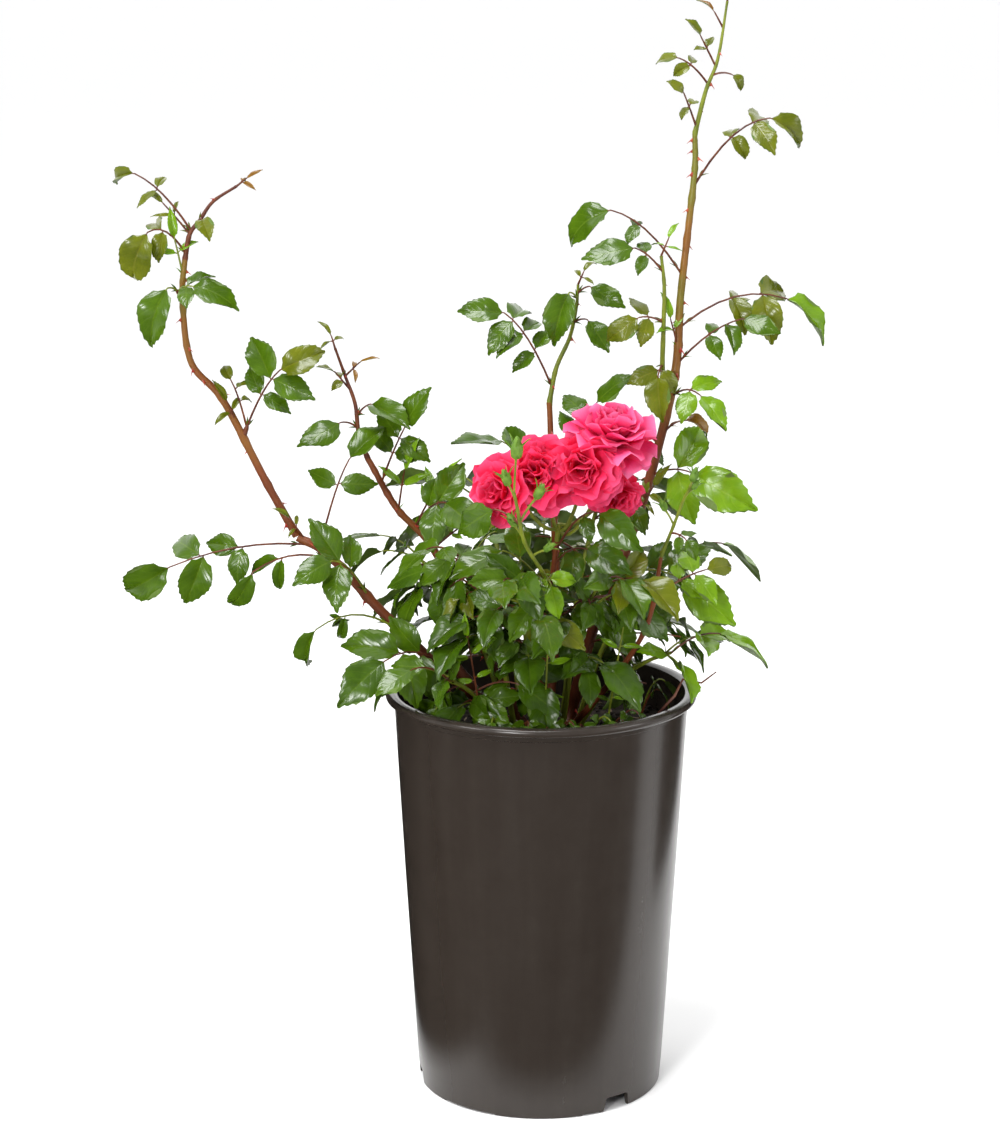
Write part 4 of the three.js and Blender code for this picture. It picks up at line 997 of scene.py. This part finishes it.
# Each shoot's cane, where it leaves the cane, its radii at foot and tip, its route from there, its
# leaves by their places along it, and its flower buds by place, reach of their stalk and length.
SHOOTS = {
    "right_cane_top": ("right_cane", 1, (1.5, 0.7), [(0, 0, 0), (6, 2, 24), (13, 3, 43), (18, 4, 76)], [
        (0.04, rose_leaf((-8, -9, 20), 15, 1, arch=0.02, tilt=40, tint="olive")),
        (0.4, rose_leaf((-17, 2, 15), 17, 1, tilt=40, tint="olive")),
        (0.5, rose_leaf((11, -4, 1), 14, 0, tilt=40, tint="olive")),
        (0.6, rose_leaf((-9, -3, 17), 15, 1, arch=0, tilt=30, tint="olive")),
        (0.85, rose_leaf((-5, 2, 9), 14, 0, arch=0, tilt=20, narrow=0.5, tint="bronze")),
        (1, rose_leaf((1, 0, 7), 13, 1, arch=0, tilt=20, narrow=0.5, tint="olive"))], []),
    "left_cane_top": ("left_upper_cane", 1, (1.6, 0.8), [(0, 0, 0), (3, 0, 14), (9, 0, 22), (17, 1, 33),
                                                        (31, 2, 42)], [
        (0.04, rose_leaf((-21, -11, 14), 38, 1, arch=0.24, hang=0.6, sides=0.7, tint="olive")),
        (0.3, rose_leaf((-33, 6, 33), 21, 1, tilt=40, hang=0.3, narrow=0.7, tint="olive")),
        (0.25, rose_leaf((-15, 4, 17), 20, 1, arch=0.02, tilt=30, hang=-0.3, narrow=0.4, tint="olive")),
        (0.5, rose_leaf((2, -9, 2), 20, 0, tilt=60, tint="olive")),
        (1, rose_leaf((5, 0, 4), 13, 1, arch=0, tilt=30, narrow=0.5, tint="bronze"))], []),
    "right_side_shoot": ("right_cane", 0.49, (1.8, 0.9), [(0, 0, 0), (-4, -4, 8), (-4, -8, 36),
                                                         (-4, -10, 60), (-6, -10, 78)], [
        (0.3, rose_leaf((-3, -10, -5), 27, 1, tilt=60, tint="olive")),
        (0.52, rose_leaf((-15, -6, 4), 25, 1, tilt=45, tint="olive")),
        (0.86, rose_leaf((-17, -5, 15), 33, 1, tilt=35, hang=0.4, sides=0.6)),
        (1, rose_leaf((4, 3, 9), 14, 1, arch=0, tilt=20, narrow=0.5, tint="fresh"))], []),
    "mid_left_cane_top": ("mid_left_cane", 1, (1.7, 0.8), [(0, 0, 0), (-5, 2, 14), (-7, 3, 32), (-13, 5, 49),
                                                          (-19, 6, 66)], [
        (0.3, rose_leaf((-10, -9, 5), 30, 0, tilt=55)),
        (0.4, rose_leaf((9, -9, 9), 32, 0, tilt=45)),
        (0.62, rose_leaf((-9, -5, 12), 15, 1, arch=0, tilt=30, tint="olive")),
        (0.75, rose_leaf((8, -3, 8), 15, 1, arch=0, tilt=30, narrow=0.5, tint="bronze")),
        (1, rose_leaf((-2, 0, 7), 15, 1, arch=0, tilt=20, narrow=0.5, tint="olive"))], []),
    "middle_cane_top": ("middle_cane", 1, (1.6, 0.8), [(0, 0, 0), (4, 2, 20), (12, 4, 38), (16, 6, 56),
                                                      (17, 6, 70)], [
        (0.1, rose_leaf((-29, -4, 46), 31, 3, arch=0.12, tilt=40, hang=0.4)),
        (0.84, rose_leaf((-5, -8, 5), 32, 0, tilt=65, hang=1.2)),
        (0.62, rose_leaf((8, -7, 3), 25, 0, tilt=45, hang=0.7)),
        (0.9, rose_leaf((7, -5, 5), 25, 0, tilt=45, hang=0.7)),
        (1, rose_leaf((3, 0, 7), 14, 1, arch=0, tilt=20, narrow=0.6, tint="olive"))], []),
    "right_bud_shoot": ("bud_cane", 1, (1.1, 0.7), [(0, 0, 0), (5, -4, 14), (11, -8, 32), (15, -12, 42)], [
        (0.3, rose_leaf((8, -5, -2), 15, 1, tilt=40))],
        [(0.4, (-5, -1, 9), 8), (0.75, (4, -1, 5), 7), (1, (1, 0, 3), 9)]),
    "front_bud_shoot": ("flower_cane", 0.7, (1.3, 0.9), [(0, 0, 0), (-3, -18, 2), (-8, -40, 14),
                                                        (-17, -58, 33), (-21, -69, 54), (-23, -70, 64)], [
        (0.32, rose_leaf((4, -8, -4), 24, 1, tint="fresh")),
        (0.7, rose_leaf((-15, 8, 8), 34, 0, tilt=60, hang=0.7))],
        [(0.5, (7, -2, 4), 8), (0.62, (-5, -1, 8), 9), (0.72, (9, -1, 14), 10), (0.9, (-4, 0, 9), 10),
         (1, (1, 0, 20), 13)]),
}

leaves = Heap()
buds = []                         # where each flower bud sits, which way it points, its length
for number, (name, (cane, at, radii, points, growth, flowering)) in enumerate(SHOOTS.items()):
    seed = 500 + number * 23
    first = unit(np.array(points[1], float))
    start = spring_point(limbs[cane], at, first, radii[0])
    route = route_of([start + np.array(p, float) for p in points])
    count = 6 * len(points)
    stations = [route(t) for t in np.linspace(0, 1, count)]
    wobble = [1 + 0.18 * max(0, math.cos(t * 5 * math.tau)) ** 8 for t in np.linspace(0, 1, count)]
    thickness = np.linspace(*radii, count) * wobble
    base = limbs[cane][0](at if at < 1 else 0.985)
    young = RED if name in ("left_cane_top", "mid_left_cane_top") else GREEN
    twigs.lay(tube([base] + stations, [radii[0]] + list(thickness), 8), young)
    if radii[0] > 1.4:
        set_prickles((route, *radii), 3, seed)
    for on, reach, size in flowering:
        foot, reach = route(on), np.array(reach, float)
        bend = reach + (0, 0, 0.15 * np.linalg.norm(reach))
        line = stalk_route(foot, reach, 0.06)
        twigs.lay(tube([line(t) for t in np.linspace(0, 1, 5)], [0.75, 0.7, 0.65, 0.65, 0.9], 6), GREEN)
        buds.append((foot + reach, unit(bend), size))
    for k, (on, leaf) in enumerate(growth):
        grow_leaf(leaves, twigs, route(on), leaf, seed + 3 * k, FRONT, name)

# Very young leaves still folded upright, which break from buds along the canes. Each has its place
# on the cane, its reach, its size and its pairs of side leaflets.
BREAKS = {
    "mid_left_cane": ((0.62, (16, -8, 30), 20, 2), (0.74, (4, -8, 26), 24, 1), (0.5, (30, -16, 26), 21, 3)),
    "left_upper_cane": ((0.33, (-6, -4, 16), 18, 1), (0.9, (-4, -4, 22), 20, 1)),
    "left_cane": ((0.93, (-9, -4, 14), 13, 1),),
    "right_cane": ((0.56, (-5, -8, 18), 20, 1), (0.33, (9, -10, 22), 18, 2)),
}
for number, (cane, growth) in enumerate(BREAKS.items()):
    for k, (at, reach, size, pairs) in enumerate(growth):
        leaf = rose_leaf(reach, size, pairs, arch=0.03, tilt=35, hang=-0.1, narrow=0.55,
                         tint="fresh" if size > 18 else "olive")
        grow_leaf(leaves, twigs, limbs[cane][0](at), leaf, 700 + 13 * number + 3 * k, FRONT)
piece = leaves.build("shoot_leaves", LEAF_FINISHES)
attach(piece, "root")
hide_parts(*SHOOTS)


# ---- the low stems --------------------------------------------------------------------------
# Short leafy stems that lean out from the middle of the pot and fill the bush on every side,
# with their leaves set by the turn that rose leaves take round a stem. Their leaves are older,
# darker and closer together than those on the canes, with smaller ones on fine twigs between.

# Each stem has its bearing, the distances from the middle of the pot at its foot and its tip, its
# rise above the compost, and its count of main leaves.
LOW_STEMS = {
    "back_left_mass": (122, 22, 70, 135, 5), "back_right_mass": (55, 24, 72, 142, 5),
    "back_middle_mass": (88, 25, 62, 96, 5), "left_back_mass": (158, 22, 78, 98, 5),
    "right_back_mass": (22, 24, 84, 96, 5), "right_front_mass": (-12, 22, 80, 52, 4),
    "front_right_mass": (-58, 23, 60, 100, 6), "front_middle_mass": (-104, 22, 58, 96, 6),
    "front_left_mass": (-138, 21, 64, 116, 6), "left_front_mass": (224, 34, 76, 44, 4),
}
LEAF_TURN = 137.5                 # degrees round the stem from one leaf to the next
# The two masses below are more open than the others, and their leaves take lighter tints as painted light,
# where light falls on them.
OPEN_PAINTED_LIT = ("right_back_mass", "right_front_mass")      # lighter and more open than the others
FINE_TWIGS = 11                   # small leaves on each stem, besides its main ones
SUNNY_TWIGS = 6                   # and on the sunny ones

# The flowers, which the leaves keep clear of: each one's middle, which way it looks, and its radius.
BLOOMS = {
    "bloom_upper": ((41, -58, 420), (0.15, -0.3, 0.95), 27),
    "bloom_middle": ((22, -74, 401), (-0.15, -0.95, 0.1), 23),
    "bloom_left": ((-4, -68, 398), (-0.3, -0.8, 0.4), 24),
    "bloom_outer": ((-26, -78, 389), (-0.6, -0.8, 0.15), 20),
    "bloom_low": ((45, -52, 379), (0.3, -0.8, -0.2), 15),
}
BLOOM_FOOT = 0.42                 # how far a flower's foot lies behind its middle, of its radius


def room_for(node, point):
    """Whether a small leaf has room at a point: in its mass's reach, clear of canes and flowers."""
    x, y, z = point
    if z < GROUND + 4 or (z < POT_HEIGHT + 4 and math.hypot(x, y) > wall_top - 4):
        return False
    for route, foot, _ in limbs.values():
        if min(np.linalg.norm(route(t) - point) for t in np.linspace(0, 1, 25)) < foot + 3:
            return False
    if any(np.linalg.norm(point - centre) < radius + 1 for centre, _, radius in BLOOMS.values()):
        return False
    return in_solid(node, point, 24)


leaves = Heap()
for number, (name, (bearing, stem_foot, stem_reach, rise, count)) in enumerate(LOW_STEMS.items()):
    seed = 800 + number * 31
    outward = towards(math.radians(bearing))

    def stand(share, lift):
        return outward * (stem_foot + share * (stem_reach - stem_foot)) + UP * (GROUND - 1 + lift * rise)

    route = route_of([stand(0, 0), stand(0.3, 0.5), stand(0.7, 0.85), stand(1, 1)])
    twigs.lay(tube([route(t) for t in np.linspace(0, 1, 14)], np.linspace(1.9, 1.0, 14), 7), GREEN)
    for k in range(count):
        on = 0.32 + 0.68 * k / (count - 1)
        aim = towards(math.radians(bearing + LEAF_TURN * k + spread(seed + k, 20)))
        # Painted light: on the two sunny masses the top two leaves take the fresh tint and none take the
        # deep one, so that they look lit.
        painted_sunlit = name in OPEN_PAINTED_LIT and k >= count - 2
        reach = outward if k == count - 1 else aim + outward * 0.45
        reach = (unit(reach) + UP * (0.35 + spread(seed * 3 + k, 0.2))) * (31 + spread(seed * 5 + k, 6))
        size = 34 + spread(seed * 7 + k, 4)
        tint = "fresh" if painted_sunlit else "green" if k > 2 or name in OPEN_PAINTED_LIT else "deep"
        leaf = rose_leaf(reach, size, 1, arch=0.12, tilt=45, tint=tint)
        grow_leaf(leaves, twigs, route(on), leaf, seed + 3 * k, outward, name)
    fine = SUNNY_TWIGS if name in OPEN_PAINTED_LIT else FINE_TWIGS
    for k in range(fine):
        on = 0.25 + 0.72 * (k + 0.5) / fine
        aim = towards(math.radians(bearing + LEAF_TURN * (k + 0.5) + spread(seed * 2 + k, 40)))
        reach = aim + outward * 0.3
        reach = (unit(reach) + UP * spread(seed * 9 + k, 0.7)) * (24 + spread(seed * 11 + k, 12))
        if room_for(name, route(on) + reach) and room_for(name, route(on) + reach * 1.7):
            size = 28 + spread(seed * 13 + k, 6)
            tint = ("deep", "green", "deep", "olive")[int(4 * scatter(seed * 15 + k))]
            leaf = rose_leaf(reach, size, 1 + k % 2, tilt=50 + spread(seed + 5 * k, 25), tint=tint)
            grow_leaf(leaves, twigs, route(on), leaf, seed + 3 * k + 1, outward)
piece = leaves.build("low_leaves", LEAF_FINISHES)
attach(piece, "root")
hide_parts(*LOW_STEMS)


# ---- the suckers and the litter ---------------------------------------------------------------
# Small leaves on threads of stem that come up through the compost near the lip, three taller young
# ones, a dead zigzag twig that leans over the lip, and withered leaflets that lie on the compost.

# Suckers and withered leaflets have a bearing, a distance from the middle of the pot, and a size.
# Young stems have a place, a reach and a size.
SUCKERS = ((-66, 66, 13), (-84, 68, 15), (-101, 66, 12), (-118, 64, 14), (-47, 64, 14), (12, 66, 15),
           (-150, 62, 13))
YOUNG_STEMS = (((1, -44), (3, -18, 88), 19), ((-34, -36), (-10, -16, 70), 17),
               ((38, -30), (10, -14, 74), 16))
WITHERED = ((-150, 74, 24), (-138, 78, 20), (-163, 70, 22), (-20, 76, 21), (200, 72, 18))
DEAD_TWIG = ((64, -38, 224), (70, -42, 246), (79, -44, 257), (84, -40, 266), (95, -41, 264), (104, -38, 270))

leaves = Heap()
for number, (bearing, radius, size) in enumerate(SUCKERS):
    outward = towards(math.radians(bearing))
    for k in range(2):
        lean = turned(outward, UP, 40 * k - 20 + spread(number + 3 * k, 12))
        foot = outward * (radius - 6) + lean * 2 + UP * (GROUND - 1)
        reach = lean * (13 + 4 * k) + UP * (21 + 4 * k)
        leaf = rose_leaf(reach, size, 1, arch=0.3, tilt=75, hang=0.3, tint=("deep", "green")[k])
        grow_leaf(leaves, twigs, foot, leaf, 1200 + 7 * number + k, lean)
for number, ((x, y), reach, size) in enumerate(YOUNG_STEMS):
    leaf = rose_leaf(reach, size, 3, arch=0.02, tilt=60, narrow=0.5, tint="fresh")
    grow_leaf(leaves, twigs, np.array([x, y, GROUND - 1.0]), leaf, 1300 + 5 * number, FRONT)
twigs.lay(tube(DEAD_TWIG, (0.9, 0.85, 0.8, 0.7, 0.6, 0.4), 6), RED)
for bearing, radius, size in WITHERED:
    outward = towards(math.radians(bearing))
    along = turned(outward, UP, 70)
    leaves.add(blade(outward * radius + UP * (GROUND + 3.5), along, UP, size, bearing, 0.8), leaf_shape,
               len(LEAF_FINISHES))
withered = leaf_finish("leaf_withered", (0.10, 0.075, 0.05), (0.19, 0.15, 0.11), (0.24, 0.19, 0.14), 0.7)
piece = leaves.build("rim_leaves", LEAF_FINISHES + [withered])
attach(piece, "root")


# ---- the flowers ----------------------------------------------------------------------------
# Open double flowers in a close truss, coral pink: each has some thirty soft petals, notched
# and ruffled at their edges, laid in a spiral from a tight middle to a reflexed outer ring.
PETALS = 32
STAMENS = 14
SEPALS = 5
BENDS = 24                        # steps in which a petal's bend is summed

petal = unit_grid(5, 6)
for row, wide in enumerate((0.16, 0.44, 0.72, 0.92, 1.0, 0.95, 0.70)):
    pick(lambda place: abs(place.y - row / 6) < 0.01)
    scale_picked(wide, 1, 1)
pick(lambda place: place.y > 0.95 and abs(place.x) < 0.1)
move_picked(0, -0.05, 0)
pick(lambda place: place.y > 0.99 and abs(place.x) > 0.3)
move_picked(0, -0.07, 0)
add_back()
pick(lambda place: place.z < -0.5 and 0.05 < place.y < 0.85 and abs(place.x) < 0.33 * (0.4 + place.y))
move_picked(0, 0, -0.02)
close_back()
petal_shape = shape_of(petal)


def petal_finish(name, heart, edge):
    """Soft matt petal: pale at its claw, deep in the middle, lighter at the edge, finely veined."""
    material, tree, shader = new_material(name, Roughness=0.6, Specular_IOR_Level=0.35)
    along = add_node(tree, "UVMap").outputs["UV"]
    split = add_node(tree, "SeparateXYZ", Vector=along)
    body = colour_ramp(tree, split.outputs["Y"],
                       [(0.0, (0.90, 0.30, 0.22)), (0.14, heart), (0.7, heart), (1.0, edge)])
    fine = add_node(tree, "Mapping", Vector=along, Scale=(34, 2.5, 1)).outputs["Vector"]
    veins = add_node(tree, "TexNoise", Vector=fine, Scale=1.0, Detail=2.0).outputs["Fac"]
    tone = colour_ramp(tree, veins, [(0.35, (0.86, 0.76, 0.80)), (0.6, (1.0, 1.0, 1.0))])
    veined = mixed(tree, 0.35, body, tone, blend_type="MULTIPLY")
    set_node(shader, Base_Color=veined)
    emboss(shader, veins, 0.25, 0.0004)
    through = add_node(tree, "BsdfTranslucent", Color=veined)
    both = add_node(tree, "MixShader", Fac=0.52)
    tree.links.new(shader.outputs[0], both.inputs[1])
    tree.links.new(through.outputs[0], both.inputs[2])
    set_node(tree.nodes["Material Output"], Surface=both.outputs[0])
    return material


PETAL_FINISHES = [petal_finish("petal_coral", (0.96, 0.034, 0.155), (0.98, 0.12, 0.31)),
                  petal_finish("petal_pink", (0.95, 0.068, 0.285), (0.98, 0.28, 0.54))]


def petal_points(base, axis, outward, length, wide, lean, bend, cup, seed):
    """The points of one petal that leans out from the flower's axis and bends along its length, and
    is cupped across and ruffled at its edge."""
    x, y, z = petal_shape["points"].T
    x = x * wide
    angle = lean + (bend - lean) * y
    steps = np.linspace(0, 1, BENDS + 1)
    angles = lean + (bend - lean) * steps

    def travelled(part):
        legs = part(angles[:-1]) + part(angles[1:])
        return np.interp(y, steps, np.concatenate(([0], np.cumsum(legs) / (2 * BENDS))))

    out, rise = travelled(np.sin), travelled(np.cos)
    ruffle = 0.14 * np.sin(9 * x + 6 * scatter(seed)) * y ** 2 * (0.5 + scatter(seed + 4))
    lift = z + cup * x ** 2 + ruffle
    lift = lift - 0.12 * scatter(seed + 7) * np.maximum(y - 0.75, 0) * 4
    across = np.cross(axis, outward)
    inward = -np.outer(np.cos(angle), outward) + np.outer(np.sin(angle), axis)
    return base + length * (np.outer(out, outward) + np.outer(rise, axis) + np.outer(x, across)
                            + lift[:, None] * inward)


petals, stamens, calyx = Heap(), Heap(), Heap()
cane_route = limbs["flower_cane"][0]
heading = heading_at(cane_route, 1)
truss_foot = cane_route(1) + heading * 0.6
knuckle = [cane_route(0.97)] + [truss_foot + heading * d for d in (0, 4, 9)]
twigs.lay(tube(knuckle, (1.5, 1.8, 1.9, 1.5), 8), GREEN)
for number, (name, (centre, look, radius)) in enumerate(BLOOMS.items()):
    seed = 60 + number * 71
    centre, axis = np.array(centre, float), unit(np.array(look, float))
    level = unit(np.cross(axis, (0.3, 0.1, 1)))
    cross = np.cross(axis, level)

    def around(turn):
        return level * math.cos(turn) + cross * math.sin(turn)

    for i in range(PETALS):
        q = i / (PETALS - 1)
        outward = around(i * math.radians(LEAF_TURN) + spread(seed + i, 0.4))
        lean = math.radians(78 - 66 * q ** 0.9 + spread(seed * 3 + i, 13))
        bend = math.radians(102 - 116 * q ** 1.2 + spread(seed * 5 + i, 26))
        length = radius * (1.02 - 0.34 * q) * (1 + spread(seed * 7 + i, 0.14))
        base = centre + axis * radius * (-0.38 + 0.12 * q) + outward * radius * 0.05
        points = petal_points(base, axis, outward, length, 1.06 + spread(seed + 2 * i, 0.18), lean, bend,
                              0.2 + 0.7 * q, seed * 2 + i)
        petals.add(points, petal_shape, 1 if name == "bloom_upper" else 0)
    for i in range(STAMENS):
        reach = radius * 0.09 * math.sqrt(scatter(seed + i))
        tip = centre - axis * radius * 0.2 + around(i * math.tau * 0.382) * reach
        stamens.lay(tube([centre - axis * radius * 0.3, tip], (0.15, 0.12), 3))
        stamens.add(crumb["points"] * 0.55 + tip, crumb)
    foot = centre - axis * (BLOOM_FOOT * radius + 0.6)
    below = foot - axis * 0.6 * radius
    node = truss_foot + heading * (3 + 1.3 * number)
    low = node + (below - node) * 0.5 - UP * radius
    line = [(1 - t) ** 3 * node + 3 * t * (1 - t) ** 2 * low + 3 * t * t * (1 - t) * below + t ** 3 * foot
            for t in np.linspace(0, 1, 14)]
    twigs.lay(tube(line, np.linspace(1.25, 1.05, 14), 7), GREEN)
    urn = [foot - axis * 1.5, foot, foot + axis * 1.5, foot + axis * 3.5]
    calyx.lay(tube(urn, (1.0, 0.11 * radius, 0.14 * radius, 0.09 * radius), 10), TINTS["fresh"])
    for i in range(SEPALS):
        along = unit(around(i * math.tau / SEPALS + seed) - axis * 0.25)
        calyx.add(blade(foot + axis * 1.5, along, face_of(along, axis), 0.62 * radius, seed + i, 0.34),
                  leaf_shape, TINTS["fresh"])
for heap, name, finishes, slot in (
        (petals, "petals", PETAL_FINISHES, "petal"),
        (calyx, "sepals", LEAF_FINISHES, "flower_stalk")):
    piece = heap.build(name, finishes)
    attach(piece, "root")
    if name == "petals":
        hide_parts(*BLOOMS)
pollen, *_ = mottled("stamen_gold", 900.0, 2.0, (0.3, (0.55, 0.30, 0.03)), (0.7, (0.85, 0.60, 0.12)),
                     Roughness=0.8)
stamens = stamens.build("stamens", [pollen])
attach(stamens, "root")


# ---- the buds -------------------------------------------------------------------------------
# Tight green flower buds, slim and pointed, wrapped in five ribbed sepals.
bpy.ops.mesh.primitive_uv_sphere_add(segments=10, ring_count=8, radius=0.5 * MM)
bud = bpy.context.object
bpy.ops.object.mode_set(mode="EDIT")
bpy.ops.mesh.select_all(action="SELECT")
scale_picked(0.56, 0.56, 1.0)
pick(lambda place: place.z > 0.2)
scale_picked(0.68, 0.68, 1.35, (0, 0, 0.2))
pick(lambda place: place.z < -0.3)
scale_picked(1.2, 1.2, 1)
pick(lambda place: place.length > 0.05 and round(math.degrees(math.atan2(place.y, place.x)) / 36) % 2 == 0)
scale_picked(1.14, 1.14, 1)
bpy.ops.object.mode_set(mode="OBJECT")
bud_shape = shape_of(bud)

sepal_shape = dict(leaf_shape, own=np.full(len(leaf_shape["sizes"]), -1))
heads = Heap()
for number, (foot, aim, length) in enumerate(buds):
    side = unit(np.cross(aim, (0.2, 0.1, 1) if abs(aim[2]) < 0.9 else (1, 0, 0)))
    frame_of = np.array([side, np.cross(aim, side), aim])
    heads.add((bud_shape["points"] * length * 0.95) @ frame_of + foot + aim * length * 0.42, bud_shape)
    for i in range(SEPALS):
        turn = i * math.tau / SEPALS + number
        outward = side * math.cos(turn) + np.cross(aim, side) * math.sin(turn)
        along = unit(aim + outward * 0.28)
        points = blade(foot + aim * 0.5, along, face_of(along, -outward), length * 1.15,
                       number * SEPALS + i, 0.24)
        heads.add(points, sepal_shape)
bud_green, *_ = mottled("bud_green", 210.0, 3.0, (0.35, (0.062, 0.135, 0.008)), (0.65, (0.12, 0.22, 0.02)),
                        Roughness=0.5, Specular_IOR_Level=0.25)
heads = heads.build("flower_buds", [bud_green])
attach(heads, "root")

twigs = twigs.build("twigs", TWIG_FINISHES)
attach(twigs, "root")
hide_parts("flower_truss")

prickles = prickles.build("prickles", [thorn_red])
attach(prickles, "root")
